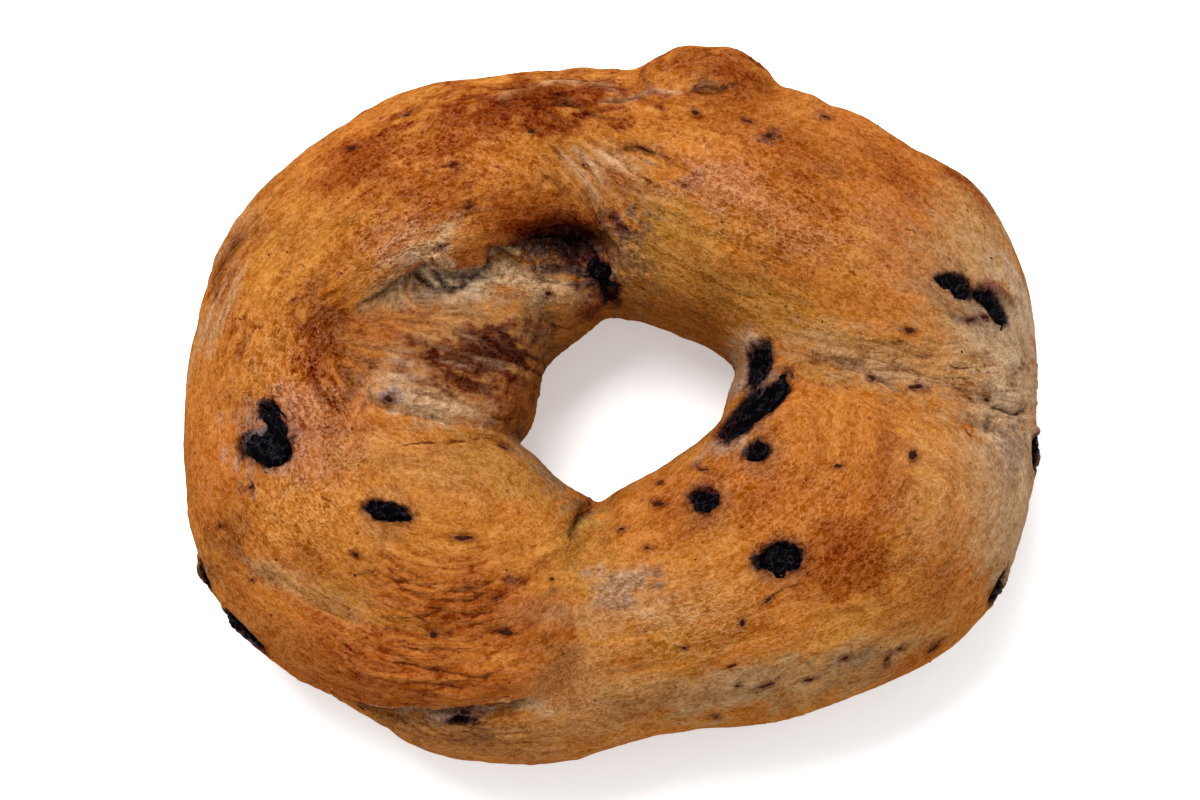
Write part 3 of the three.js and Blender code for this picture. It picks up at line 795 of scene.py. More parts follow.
# Patches of colour: pigment, strength, middle, half width and height, tilt, in picture points.
PATCHES = [
    # back-left turn
    ("gold", 0.8, 285, 255, 75, 55, 45),
    ("orange", 0.5, 215, 430, 30, 80, 0),
    ("orange", 0.6, 440, 165, 90, 34, 12),
    ("russet", 0.7, 520, 108, 110, 26, 4),
    ("russet", 0.15, 360, 158, 50, 26, 25),
    ("gold", 0.6, 262, 196, 50, 18, 42),
    ("gold", 0.4, 556, 190, 40, 20, 0),
    ("pink", 0.6, 410, 250, 46, 40, 0),
    ("pink", 0.6, 312, 430, 65, 60, 0),
    ("bark", 0.4, 335, 342, 30, 50, 0),
    ("russet", 0.5, 314, 345, 18, 34, 20),
    ("maroon", 0.35, 337, 322, 14, 14, 0),
    ("wheat", 0.5, 212, 320, 13, 36, -25),
    ("honey", 0.6, 444, 236, 36, 24, 35),
    ("tan", 0.6, 428, 245, 40, 10, 42),
    # strand into the hole
    ("wheat", 0.9, 460, 345, 100, 62, -10),
    ("orange", 0.6, 388, 326, 46, 18, 0),
    ("honey", 0.6, 440, 322, 60, 14, 0),
    ("wheat", 0.6, 388, 294, 36, 11, 28),
    ("cream", 0.5, 442, 298, 56, 9, 4),
    ("tan", 0.6, 430, 400, 76, 26, -12),
    ("cream", 0.3, 402, 380, 32, 22, -20),
    ("tan", 0.9, 540, 284, 56, 22, -14),
    ("tan", 0.7, 508, 272, 30, 16, 0),
    ("honey", 0.6, 570, 300, 26, 10, -20),
    ("wheat", 0.6, 525, 330, 26, 20, -20),
    ("grey", 0.4, 548, 334, 20, 24, 0),
    ("russet", 0.9, 474, 354, 76, 32, 6),
    ("bark", 0.8, 474, 353, 70, 27, 6),
    ("umber", 0.8, 506, 355, 24, 18, 0),
    ("maroon", 0.25, 488, 358, 40, 20, 0),
    ("umber", 0.5, 492, 356, 38, 16, 0),
    ("umber", 0.5, 462, 382, 24, 9, -10),
    ("umber", 0.4, 440, 352, 30, 8, 0),
    ("umber", 0.4, 480, 336, 30, 7, 0),
    ("wheat", 0.5, 500, 300, 34, 13, 0),
    ("grey", 0.3, 505, 302, 34, 13, 0),
    ("russet", 0.5, 513, 398, 22, 32, 0),
    ("orange", 0.5, 498, 410, 16, 12, 0),
    ("russet", 0.8, 588, 306, 14, 9, 20),
    ("cream", 0.95, 456, 279, 58, 13, 6),
    ("plum", 0.5, 452, 281, 44, 8, 6),
    # painted shade under the torn flakes
    ("deep_shade", 0.3, 436, 283, 24, 6, 20),
    ("orange", 0.8, 468, 256, 24, 14, 10),
    # torn hollow: the brown of its crumb, and painted shade in its depths
    ("umber", 0.9, 554, 252, 46, 20, -10),
    ("umber", 0.9, 560, 244, 36, 12, -4),
    ("deep_shade", 0.9, 568, 240, 28, 7, -4),
    ("deep_shade", 0.95, 594, 256, 8, 18, 15),
    ("deep_shade", 0.9, 604, 278, 10, 18, 30),
    ("umber", 0.8, 592, 280, 10, 26, 30),
    ("umber", 0.8, 562, 256, 34, 16, -10),
    ("umber", 0.8, 582, 277, 12, 7, 30),
    ("ash", 0.3, 548, 256, 24, 7, -20),
    ("wheat", 0.9, 552, 267, 28, 7, -8),
    ("grey", 0.9, 552, 266, 30, 8, -8),
    ("maroon", 0.6, 576, 262, 28, 11, 14),
    ("deep_shade", 0.7, 574, 243, 28, 12, 8),
    ("deep_shade", 0.5, 590, 268, 14, 14, 40),
    # back-right turn
    ("orange", 0.6, 890, 180, 80, 40, -38),
    ("pink", 0.4, 905, 252, 70, 44, -40),
    ("gold", 0.7, 820, 320, 90, 26, -20),
    ("honey", 0.6, 610, 175, 50, 36, -30),
    ("cream", 0.3, 622, 160, 34, 12, -8),
    ("wheat", 0.6, 650, 190, 46, 18, -25),
    ("orange", 0.6, 626, 176, 20, 10, -10),
    ("olive", 0.8, 670, 245, 60, 60, -20),
    ("gold", 0.4, 690, 270, 40, 30, -20),
    ("grey", 0.5, 622, 255, 28, 52, 0),
    ("pink", 0.6, 725, 185, 60, 32, -20),
    ("pink", 0.4, 800, 235, 60, 24, -25),
    ("olive", 0.7, 770, 310, 90, 30, -25),
    ("wheat", 0.6, 860, 348, 80, 14, -8),
    ("wheat", 0.6, 970, 235, 56, 70, 20),
    ("tan", 0.8, 990, 320, 56, 110, 0),
    ("wheat", 0.5, 955, 320, 56, 90, 0),
    ("ash", 0.9, 1016, 340, 32, 84, 0),
    ("cream", 0.8, 1012, 420, 40, 130, 0),
    ("cream", 0.8, 1005, 345, 44, 70, 0),
    ("wheat", 0.8, 900, 366, 150, 30, -8),
    ("cream", 0.4, 875, 372, 60, 12, -18),
    # front-right turn
    ("gold", 0.2, 800, 430, 100, 60, -20),
    ("orange", 0.3, 830, 440, 80, 50, -20),
    ("honey", 0.6, 680, 600, 90, 50, 10),
    ("gold", 0.5, 730, 560, 60, 40, 0),
    ("tan", 1.0, 1006, 495, 56, 100, 8),
    ("cream", 0.6, 1008, 490, 44, 90, 8),
    ("honey", 0.7, 945, 490, 60, 90, 10),
    ("wheat", 0.9, 700, 690, 150, 26, 8),
    ("tan", 0.8, 750, 688, 90, 20, 12),
    ("wheat", 0.85, 850, 665, 90, 26, 22),
    ("olive", 0.4, 690, 645, 60, 20, 10),
    ("grey", 0.5, 850, 662, 34, 12, 20),
    # front-left turn
    ("honey", 0.6, 430, 465, 90, 32, -10),
    ("gold", 0.6, 400, 530, 110, 44, -15),
    ("gold", 0.8, 545, 560, 40, 40, 0),
    ("olive", 0.5, 510, 475, 90, 26, -32),
    ("grey", 0.6, 545, 466, 60, 16, -38),
    ("orange", 0.8, 455, 602, 96, 46, 5),
    ("orange", 1.0, 400, 678, 160, 50, -6),
    ("bark", 0.4, 226, 545, 24, 40, -20),
    ("tan", 0.6, 300, 588, 64, 12, -25),
    ("honey", 0.6, 330, 596, 50, 12, -20),
    ("gold", 0.5, 310, 592, 50, 12, -25),
    ("olive", 0.5, 345, 590, 30, 14, -10),
    ("olive", 0.5, 405, 622, 40, 10, 0),
    ("grey", 0.4, 562, 496, 30, 10, -35),
    ("olive", 0.5, 590, 560, 44, 40, 0),
    ("olive", 0.6, 578, 525, 14, 24, 10),
    ("tan", 0.4, 600, 612, 90, 22, 0),
    ("wheat", 0.3, 608, 578, 34, 18, 0),
    ("ash", 0.4, 622, 588, 34, 22, 0),
    ("grey", 0.4, 618, 590, 30, 18, 0),
    ("wheat", 0.6, 575, 685, 44, 40, 0),
    # the turn beneath, and the knob
    ("honey", 0.8, 470, 742, 120, 24, -6),
    ("wheat", 0.5, 560, 725, 60, 26, 0),
    ("ash", 0.6, 430, 713, 90, 6, -3),
    ("tan", 0.8, 528, 706, 28, 9, -8),
    ("honey", 0.5, 612, 695, 50, 46, 0),
    ("grey", 0.5, 710, 88, 20, 6, 0),
    ("russet", 0.4, 715, 62, 56, 20, 0),
    # smaller marks
    ("ash", 0.8, 1010, 440, 22, 34, 0),
    ("cream", 0.7, 1008, 398, 34, 22, 0),
    ("plum", 0.12, 1008, 446, 18, 20, 0),
    ("lilac", 0.7, 388, 398, 14, 8, 0),
    ("plum", 0.5, 974, 318, 22, 6, -10),
    ("plum", 0.4, 985, 388, 16, 6, -10),
    ("russet", 0.8, 996, 290, 28, 5, -33),
    ("ash", 0.5, 268, 440, 34, 42, 0),
    ("pink", 0.6, 300, 440, 30, 50, 0),
    ("cream", 0.7, 750, 345, 24, 12, -20),
    ("ash", 0.7, 740, 372, 12, 22, 20),
    ("ash", 0.7, 756, 385, 24, 6, 32),
    ("russet", 0.8, 722, 434, 16, 10, 40),
    ("cream", 0.6, 743, 437, 8, 14, 0),
    ("ash", 0.6, 716, 448, 24, 7, 30),
    ("olive", 0.6, 825, 372, 44, 9, -10),
    ("plum", 0.3, 688, 173, 18, 9, 0),
    ("plum", 0.5, 620, 222, 16, 12, -20),
    ("plum", 0.5, 770, 136, 12, 10, -20),
    ("plum", 0.5, 507, 576, 8, 5, 0),
    ("plum", 0.6, 658, 578, 7, 11, -10),
    ("plum", 0.2, 462, 716, 26, 7, 0),
]
BROKEN_UP = ("russet", "bark", "umber", "grey", "ash", "lilac", "plum", "deep_shade")

# Strokes of colour: pigment, strength, half width in millimetres, path.
STROKES = [
    # rents of the torn skin, with painted shade in them under the flakes
    ("chalk", 0.7, 0.25, [(453, 273), (463, 272), (473, 269), (485, 264)]),
    ("deep_shade", 1.0, 0.45, [(418, 277), (429, 284), (440, 290)]),
    ("deep_shade", 1.0, 0.45, [(436, 277), (445, 285), (453, 290)]),
    ("deep_shade", 1.0, 0.40, [(448, 286), (460, 286), (472, 283)]),
    ("deep_shade", 0.9, 0.35, [(455, 277), (467, 278), (480, 274)]),
    ("deep_shade", 0.95, 0.50, [(491, 249), (490, 258), (487, 267)]),
    ("honey", 0.9, 0.50, [(508, 254), (516, 258), (525, 264)]),
    # streaks along the left side; the tan one is a painted highlight along the rim
    ("russet", 0.6, 0.60, [(220, 305), (230, 278), (246, 252), (268, 228)]),
    ("bark", 0.5, 0.40, [(213, 292), (223, 268), (240, 244), (262, 220)]),
    ("tan", 0.6, 0.50, [(208, 356), (217, 330), (228, 306), (240, 288)]),
    # the edge of the lip over the mouth, with painted shadow under it
    ("russet", 0.6, 1.60, [(496, 238), (520, 226), (545, 216), (570, 215), (590, 224), (600, 240)]),
    ("maroon", 0.9, 0.80, [(508, 240), (530, 231), (548, 226), (566, 225), (582, 228), (594, 238)]),
    ("deep_shade", 0.9, 0.60, [(526, 240), (548, 235), (566, 235), (582, 239), (592, 248), (596, 260)]),
    # painted shade in the crack in the knob
    ("umber", 0.9, 0.40, [(693, 90), (702, 88), (713, 87), (723, 88), (736, 84)]),
    # the edge of the strand's tip
    ("maroon", 0.7, 0.40, [(596, 290), (600, 300), (592, 309), (580, 313)]),
    # redness over a berry
    ("bark", 0.8, 0.60, [(978, 284), (990, 288), (1002, 294), (1012, 305)]),
    # the edges of the turns at the back: the cream strokes are painted highlights along ridges, and the
    # bark and umber ones painted shade in creases
    ("russet", 0.8, 0.80, [(944, 171), (962, 179), (978, 193), (993, 213)]),
    ("maroon", 0.6, 0.50, [(648, 92), (643, 78), (650, 62), (666, 51)]),
    ("cream", 0.6, 0.40, [(500, 97), (530, 89), (560, 82), (590, 84), (616, 90)]),
    ("cream", 0.5, 0.35, [(600, 101), (630, 98), (655, 92), (680, 93)]),
    ("bark", 0.5, 0.40, [(555, 96), (570, 103), (582, 109), (600, 117), (625, 121)]),
    ("cream", 0.5, 0.50, [(560, 152), (575, 168), (588, 184), (598, 200)]),
    ("cream", 0.5, 0.50, [(574, 148), (590, 164), (604, 184)]),
    ("umber", 0.6, 0.50, [(618, 151), (632, 147), (645, 149), (658, 154), (672, 162)]),
]

SIDE_SHADE = 0.1           # painted shade: how much darker the sides are
DIP_SHADE = 0.5             # and how much darker painted shade makes the bottoms of folds
MOTTLE_TINT = (1, 1.5, 2.2)         # mottling shows least in red and most in blue
upright = normals[:, 2]
colour = np.tile(linear(*PIGMENTS["orange"]), (len(places), 1))


def tint(pigment, cover):
    """Goes over the crust with a pigment, as thickly as `cover` says."""
    colour[:] += cover[:, None] * (np.array(linear(*PIGMENTS[pigment])) - colour)


# orange all over, with wide blots of gold, and paler where it lay on the board
tint("gold", 0.5 + 0.5 * blots(12, 2, 1.1))
tint("tan", 0.5 * smoothstep(-0.3, -0.9, upright))
for pigment, strength, *area in PATCHES:
    tint(pigment, strength * patch_cover(*area, RAGGED if pigment in BROKEN_UP else SOFT))

# cream-coloured fibres where the skin was drawn out, in ovals of the picture
drawn_out = blended(0.0, [
    (0.35, 930, 365, 130, 40, -12),
    (0.5, 440, 300, 90, 14, 4),
    (0.5, 420, 395, 70, 26, -12),
    (0.7, 468, 352, 76, 30, 4),
    (0.3, 600, 180, 50, 40, -30),
    (0.6, 215, 300, 20, 80, -20),
    (0.5, 420, 250, 50, 20, 40),
    (0.1, 330, 590, 80, 16, -25),
])
tint("cream", drawn_out * smoothstep(-0.1, 0.5, fibres(1.0, 9, 11.3)))
tint("bark", 0.7 * drawn_out * smoothstep(0.1, 0.6, fibres(0.8, 7, 13.9)))

for pigment, strength, width, path in STROKES:
    cover = np.zeros(len(places))
    near, covered = stroke_cover(path, width)
    cover[near] = covered
    tint(pigment, strength * cover)

tint("chalk", 0.9 * flaked)

# juice that stained the crust round each berry, the berry dark through thin crust, and black in its
# pocket, painted shade where the berry doesn't fill it
for middle, *_ in seats.values():
    away = np.linalg.norm(places - middle, axis=1) / MM
    tint("plum", 0.25 * (1 - smoothstep(3.0, 5.0, away + 1.2 * fray)))
tint("maroon", 0.6 * stains)
tint("black", 0.95 * np.maximum(pits, stains ** 3))
LILAC_PATCH = (256, 430, 11, 5, 12)       # a pale lilac patch on the crust over the largest berry
tint("lilac", 0.9 * patch_cover(*LILAC_PATCH))

# Crumbs of berry that were kneaded in: middle, length and width in picture points, and tilt.
# Each has stained the crust round it, so the crust needs them before they are made.
FLECKS = [
    (463, 538, 24, 6, 0), (355, 555, 9, 6, -30), (433, 634, 8, 6, 0), (505, 632, 16, 6, -8),
    (362, 708, 14, 7, -30), (251, 487, 8, 4, 15), (220, 526, 5, 4, 0), (389, 399, 10, 6, -20),
    (517, 359, 8, 6, 0), (531, 131, 9, 5, -10), (407, 115, 8, 4, 20), (351, 148, 10, 4, 20),
    (453, 165, 7, 4, 0), (470, 206, 9, 6, -20), (696, 113, 10, 6, -40), (769, 136, 9, 7, 30),
    (826, 117, 14, 4, -10), (748, 121, 12, 3, -25), (613, 217, 9, 6, 10), (625, 227, 10, 6, -20),
    (909, 331, 11, 7, -20), (871, 378, 8, 6, -40), (916, 387, 15, 5, 5), (987, 400, 7, 5, 0),
    (837, 466, 9, 4, 0), (913, 456, 12, 8, 80), (658, 504, 13, 5, -10), (621, 529, 7, 4, 0),
    (702, 470, 12, 3, -20), (742, 624, 9, 6, 80), (769, 599, 12, 4, 40), (732, 666, 11, 3, 15),
    (809, 680, 11, 4, 5), (887, 659, 9, 6, 60), (933, 649, 14, 4, 40), (737, 686, 6, 3, 0),
    (716, 717, 7, 3, 0), (765, 686, 22, 3, 25), (845, 658, 8, 4, 20), (900, 649, 7, 3, 20),
    (684, 648, 5, 3, 0), (252, 580, 5, 3, 0), (552, 579, 5, 3, 0), (647, 548, 5, 3, 0),
    (660, 484, 5, 3, 0), (703, 490, 12, 5, 10), (598, 262, 10, 8, 50), (612, 290, 14, 9, -60),
    (502, 447, 10, 6, -30), (604, 268, 9, 9, 0), (618, 300, 9, 5, -30), (588, 252, 7, 5, 0),
    (548, 293, 7, 5, 0), (985, 317, 10, 4, -10), (970, 320, 8, 4, 0), (440, 246, 5, 3, 30),
    (463, 712, 10, 5, -10),
]
STAIN_LENGTH, STAIN_WIDTH = 3, 2        # picture points past either end and side of a crumb
for across, down, length, width, tilt in FLECKS:
    half_length, half_width = 0.5 * length + STAIN_LENGTH, 0.5 * width + STAIN_WIDTH
    reach = oval_reach(flat_places, across, down, half_length, half_width, tilt)
    tint("maroon", 0.7 * (1 - smoothstep(0.5, 1.5, reach + 0.3 * fray)) * seen)

# painted shade darkens the sides towards the board, and the skin is mottled
colour *= (1 - SIDE_SHADE * smoothstep(0.55, 0.0, upright) * smoothstep(-1.0, -0.5, upright))[:, None]
mottling = 0.08 * blots(3, 3, 4.4) + 0.15 * fibres(1.4, 12, 8.1) + 0.10 * fibres(3.5, 24, 2.6)
colour *= np.maximum(1 + np.outer(mottling, MOTTLE_TINT), 0.2)
# painted shade where the skin was lowered into folds and laps
colour *= (1 - DIP_SHADE * smoothstep(0.05, 0.6, -lift) * seen * (1 - torn))[:, None]
browned += 0.22 * fibres(2.2, 16, 9.1) + 0.12 * fibres(1.2, 7, 6.1) + 0.14 * blots(3, 3, 6.3)
browned *= 1 - 0.8 * torn

coat = dough.data.attributes.new("crust_colour", "FLOAT_COLOR", "POINT")
coat.data.foreach_set("color", np.column_stack((np.clip(colour, 0, 1), np.ones(len(places)))).ravel())
FIELDS = {
    "grain": across_pull * MM,
    "pulled": pulled,
    "browned": browned,
    "crazed": crazed,
    "torn": torn,
    "line_gap": line_gap * MM,
    "line_shade": line_shade,
    "wrinkle": wrinkles,
    "wrinkled": smoothstep(0.08, 0.34, wrinkling) * seen,
}
for name, values in FIELDS.items():
    dough.data.attributes.new(name, "FLOAT", "POINT").data.foreach_set("value", values)

# the skin is thinned to as many triangles, larger where it is smooth than where it is wrinkled
SKIN_FACES = 196000
thin = dough.modifiers.new("thin", "DECIMATE")
dough.data.calc_loop_triangles()
thin.ratio = SKIN_FACES / len(dough.data.loop_triangles)
apply_modifiers(dough)


def new_material(name):
    """A material, with its nodes and links."""
    material = bpy.data.materials.new(name)
    material.use_nodes = True
    return material, material.node_tree.nodes, material.node_tree.links


crust, nodes, links = new_material("baked_crust")
bsdf = nodes["Principled BSDF"]
where = nodes.new("ShaderNodeTexCoord")


def field(name):
    """The value that the dough's mesh carries under a name."""
    node = nodes.new("ShaderNodeAttribute")
    node.attribute_name = name
    return node.outputs["Fac"]


def calculate(operation, *values):
    """A sum of one or two values, each a socket or a number."""
    node = nodes.new("ShaderNodeMath")
    node.operation = operation
    for socket, value in zip(node.inputs, values):
        if isinstance(value, (int, float)):
            socket.default_value = value
        else:
            links.new(value, socket)
    return node.outputs["Value"]


def noise_texture(size, detail=3):
    """A noise with blots about `size` metres across."""
    texture = nodes.new("ShaderNodeTexNoise")
    texture.inputs["Scale"].default_value = 1 / size
    texture.inputs["Detail"].default_value = detail
    texture.inputs["Roughness"].default_value = 0.6
    links.new(where.outputs["Object"], texture.inputs["Vector"])
    return texture.outputs["Fac"]


def drawn_noise(width, length, detail=3):
    """A noise drawn out along the pull of the dough, its width and length in metres."""
    slow = nodes.new("ShaderNodeVectorMath")
    slow.operation = "SCALE"
    slow.inputs["Scale"].default_value = 1 / length
    links.new(where.outputs["Object"], slow.inputs[0])
    texture = nodes.new("ShaderNodeTexNoise")
    texture.noise_dimensions = "4D"
    texture.inputs["Scale"].default_value = 1
    texture.inputs["Detail"].default_value = detail
    texture.inputs["Roughness"].default_value = 0.6
    links.new(slow.outputs["Vector"], texture.inputs["Vector"])
    links.new(calculate("MULTIPLY", field("grain"), 1 / width), texture.inputs["W"])
    loose = noise_texture(width, detail)
    drawn = calculate("MULTIPLY", field("pulled"), calculate("SUBTRACT", texture.outputs["Fac"], loose))
    return calculate("ADD", loose, drawn)


def spread(value, low, high, to_low, to_high):
    """Maps a value's range to another, clamped."""
    ramp = nodes.new("ShaderNodeMapRange")
    for socket, number in zip(ramp.inputs[1:5], (low, high, to_low, to_high)):
        socket.default_value = number
    links.new(value, ramp.inputs["Value"])
    return ramp.outputs["Result"]


def swing(value, middle, size):
    """How far a value lies past a middle one, times a size."""
    return calculate("MULTIPLY", calculate("SUBTRACT", value, middle), size)


def near_middle(value, reach, middle=0.5):
    """1 where a noise passes its middle value, falling to 0 at `reach` either side of it."""
    return spread(calculate("ABSOLUTE", calculate("SUBTRACT", value, middle)), 0.0, reach, 1.0, 0.0)


def mix(factor, first, second, blend="MIX"):
    """Two colours mixed, where each input is a socket or its own value."""
    node = nodes.new("ShaderNodeMix")
    node.data_type = "RGBA"
    node.blend_type = blend
    for source, socket in ((factor, node.inputs[0]), (first, node.inputs[6]), (second, node.inputs[7])):
        if isinstance(source, (tuple, float)):
            socket.default_value = source
        else:
            links.new(source, socket)
    return node.outputs[2]


def vector_sum(operation, first, second):
    """A sum of two colours, each a socket or three numbers."""
    node = nodes.new("ShaderNodeVectorMath")
    node.operation = operation
    for socket, source in zip(node.inputs, (first, second)):
        if isinstance(source, tuple):
            socket.default_value = source
        else:
            links.new(source, socket)
    return node.outputs["Vector"]


def gamma(source, power):
    """A colour raised to a power."""
    node = nodes.new("ShaderNodeGamma")
    node.inputs["Gamma"].default_value = power
    links.new(source, node.inputs["Color"])
    return node.outputs["Color"]


def bump(height, distance, normal=None):
    """A relief of a depth in metres, on top of another."""
    node = nodes.new("ShaderNodeBump")
    node.inputs["Strength"].default_value = 1
    node.inputs["Distance"].default_value = distance
    links.new(height, node.inputs["Height"])
    if normal:
        links.new(normal, node.inputs["Normal"])
    return node.outputs["Normal"]


# tints that the painted colour is multiplied by; the last three are painted shade
SCORCH = (0.50, 0.30, 0.12, 1.0)
CRUMB_DARK = (0.25, 0.18, 0.14, 1.0)
CRUMB_PALE = (1.80, 1.75, 1.75, 1.0)
LINE_SHADE = (0.30, 0.13, 0.07, 1.0)
FOLD_SHADE = (0.54, 0.32, 0.18, 1.0)
PINHOLE_SHADE = (0.05, 0.014, 0.006, 1.0)

# the painted colour, and the noises that break it up, by their sizes in metres
paint = nodes.new("ShaderNodeAttribute")
paint.attribute_name = "crust_colour"
streaks = drawn_noise(0.0006, 0.0028)
fine_streaks = drawn_noise(0.00028, 0.0012)
worms = drawn_noise(0.0009, 0.0012, 2)
cracks = noise_texture(0.0011, 2)
blotches = noise_texture(0.0016)
grit = noise_texture(0.0007, 4)

# browned patches, broken up into streaks and spots
uneven = calculate("ADD", calculate("MULTIPLY", streaks, 0.7), calculate("MULTIPLY", blotches, 0.4))
browning = calculate("ADD", field("browned"), calculate("SUBTRACT", uneven, 0.55))
toned = mix(spread(browning, 0.05, 0.95, 0.0, 1.0), paint.outputs["Color"],
            mix(1.0, paint.outputs["Color"], SCORCH, "MULTIPLY"))

# painted shade in the bottoms of the wrinkles
fold = near_middle(field("wrinkle"), 0.24, 0.0)
fold = calculate("MULTIPLY", fold, field("wrinkled"))
fold = calculate("MULTIPLY", fold, spread(blotches, 0.38, 0.58, 0.2, 1.0))
toned = mix(fold, toned, mix(1.0, toned, FOLD_SHADE, "MULTIPLY"))

# The fine net of the dried skin: painted highlights on its ridges, painted shade in its cracks, and
# streaks along the pull. They make the colour lighter or darker by steps that look even on a screen.
GLINT_STEP, CRACK_SHADE_STEP, STREAK_STEP, FINE_STREAK_STEP = 0.15, 0.10, 0.19, 0.12
STARCH = (0.0, 0.006, 0.022)        # the thin pale film that boiling leaves on the dough
DARKEST = (0.03, 0.015, 0.01)
DISPLAY_GAMMA = 2.2
ridges = near_middle(worms, 0.10)
crack_shade = near_middle(cracks, 0.06)
patchy = calculate("MULTIPLY", field("crazed"), spread(blotches, 0.35, 0.65, 0.3, 1.0))
crazing = calculate("ADD", patchy, 0.3)
steps = calculate("SUBTRACT", swing(ridges, 0.4, GLINT_STEP), swing(crack_shade, 0.3, CRACK_SHADE_STEP))
steps = calculate("MULTIPLY", steps, crazing)
steps = calculate("ADD", steps, swing(streaks, 0.5, STREAK_STEP))
steps = calculate("ADD", steps, swing(fine_streaks, 0.5, FINE_STREAK_STEP))
filmed = vector_sum("ADD", steps, STARCH)
stepped = vector_sum("ADD", gamma(toned, 1 / DISPLAY_GAMMA), filmed)
toned = gamma(vector_sum("MAXIMUM", stepped, DARKEST), DISPLAY_GAMMA)

# torn crumb, flaky and full of holes
crumb = mix(spread(grit, 0.36, 0.62, 0.0, 1.0), CRUMB_DARK, CRUMB_PALE)
toned = mix(field("torn"), toned, mix(1.0, toned, crumb, "MULTIPLY"))

# painted shade in pinholes, and along the bottoms of laps and creases
PINHOLES = 420                      # to the metre
WANDER = 0.0006                     # m, over which the painted shade of a line strays
pinholes = nodes.new("ShaderNodeTexVoronoi")
pinholes.inputs["Scale"].default_value = PINHOLES
links.new(where.outputs["Object"], pinholes.inputs["Vector"])
pinhole_shade = spread(pinholes.outputs["Distance"], 0.06, 0.18, 0.75, 0.0)
pinhole_shade = calculate("MULTIPLY", pinhole_shade, spread(grit, 0.4, 0.6, 0.0, 1.0))
toned = mix(pinhole_shade, toned, PINHOLE_SHADE)
gap = calculate("ABSOLUTE", calculate("ADD", field("line_gap"), swing(grit, 0.5, WANDER)))
line = calculate("MULTIPLY", spread(gap, 0.00004, 0.0002, 1.0, 0.0), field("line_shade"))
toned = mix(line, toned, mix(1.0, toned, LINE_SHADE, "MULTIPLY"))
links.new(toned, bsdf.inputs["Base Color"])
links.new(spread(streaks, 0.3, 0.7, 0.5, 0.34), bsdf.inputs["Roughness"])
bsdf.inputs["Specular IOR Level"].default_value = 0.0       # a gloss would veil the colours; the painted highlights on the net's ridges stand in for it

relief = bump(fine_streaks, 0.0001)
relief = bump(streaks, 0.0002, relief)
relief = bump(calculate("MULTIPLY", crazing, ridges), 0.0001, relief)
relief = bump(calculate("MULTIPLY", field("torn"), grit), 0.0009, relief)
relief = bump(line, -0.0002, relief)
links.new(relief, bsdf.inputs["Normal"])

dough.data.materials.clear()
dough.data.materials.append(crust)
dough.data.shade_smooth()
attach(dough, "root")
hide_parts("dough")

# ---- The berries ----
# Whole dried berries baked into the crust, which holds them: near-black, shrunk into deep
# wrinkles, with faint painted highlights along thin crests of the skin.

berry_skin, nodes, links = new_material("dried_berry_skin")
bsdf = nodes["Principled BSDF"]
where = nodes.new("ShaderNodeTexCoord")
cloud = nodes.new("ShaderNodeTexNoise")
cloud.inputs["Scale"].default_value = 600           # blots to the metre
cloud.inputs["Detail"].default_value = 3
links.new(where.outputs["Object"], cloud.inputs["Vector"])
BERRY_BLACK = (0.0012, 0.0008, 0.0014, 1.0)
BERRY_GLINT = (0.02, 0.017, 0.023, 1.0)
GLINT_STRENGTH = 0.6
# painted highlights, in thin lines over the black
crests = near_middle(cloud.outputs["Fac"], 0.03, 0.56)
glint = calculate("MULTIPLY", crests, GLINT_STRENGTH)
links.new(mix(glint, BERRY_BLACK, BERRY_GLINT), bsdf.inputs["Base Color"])
links.new(spread(cloud.outputs["Fac"], 0.3, 0.7, 0.2, 0.5), bsdf.inputs["Roughness"])
bsdf.inputs["Specular IOR Level"].default_value = 0.01
links.new(bump(cloud.outputs["Fac"], 0.0001), bsdf.inputs["Normal"])

BERRY_SPARE = 0.15 * MM     # past the solid's size, which the wrinkles take back
FEW_FACES = 100             # a berry with fewer is divided once more
LUMP_SIZE, LUMP_DEPTH = 3.0, 0.5                    # mm
WRINKLE_SIZE, WRINKLE_DEPTH = 1.5, 0.3              # mm
CREST, STEEPNESS = 0.5, 2.5                         # of the wrinkles, in their depths

for name in BERRIES:
    berry = bpy.data.objects.new("dried_" + name, bpy.data.meshes.new("dried_" + name))
    copy_merged(name, BERRY_SPARE).to_mesh(berry.data)
    scene.collection.objects.link(berry)
    rounding = berry.modifiers.new("rounding", "SUBSURF")
    rounding.levels = rounding.render_levels = 3 if len(berry.data.polygons) < FEW_FACES else 2
    apply_modifiers(berry)
    spots = places_of(berry.data)
    middle, outward = seats[name][:2]
    height = (spots - middle) @ outward
    spots += np.outer(pressed(name, seats[name], spots, height) - height, outward)
    lumps = noise_at(spots / (LUMP_SIZE * MM))
    furrows = CREST - STEEPNESS * np.abs(noise_at(spots / (WRINKLE_SIZE * MM) + 4.0))
    relief = (LUMP_DEPTH * lumps + WRINKLE_DEPTH * furrows) * MM
    spots += normals_of(berry.data) * relief[:, None]
    berry.data.vertices.foreach_set("co", spots.ravel())
    berry.data.materials.clear()
    berry.data.materials.append(berry_skin)
    berry.data.shade_smooth()
    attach(berry, "root")
    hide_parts(name)

# ---- The flecks ----
# Crumbs of broken berry and of bran that were kneaded into the dough and lie half sunk in its
# crust. The larger ones have their own places, and the finest are strewn over the whole skin.

CRUMB_BLACK = (0.007, 0.0026, 0.002, 1.0)
CRUMB_RED = (0.045, 0.012, 0.006, 1.0)
crumb_brown, nodes, links = new_material("berry_crumb")
bsdf = nodes["Principled BSDF"]
where = nodes.new("ShaderNodeTexCoord")
links.new(mix(noise_texture(0.0006), CRUMB_BLACK, CRUMB_RED), bsdf.inputs["Base Color"])
bsdf.inputs["Roughness"].default_value = 0.6
bsdf.inputs["Specular IOR Level"].default_value = 0.0

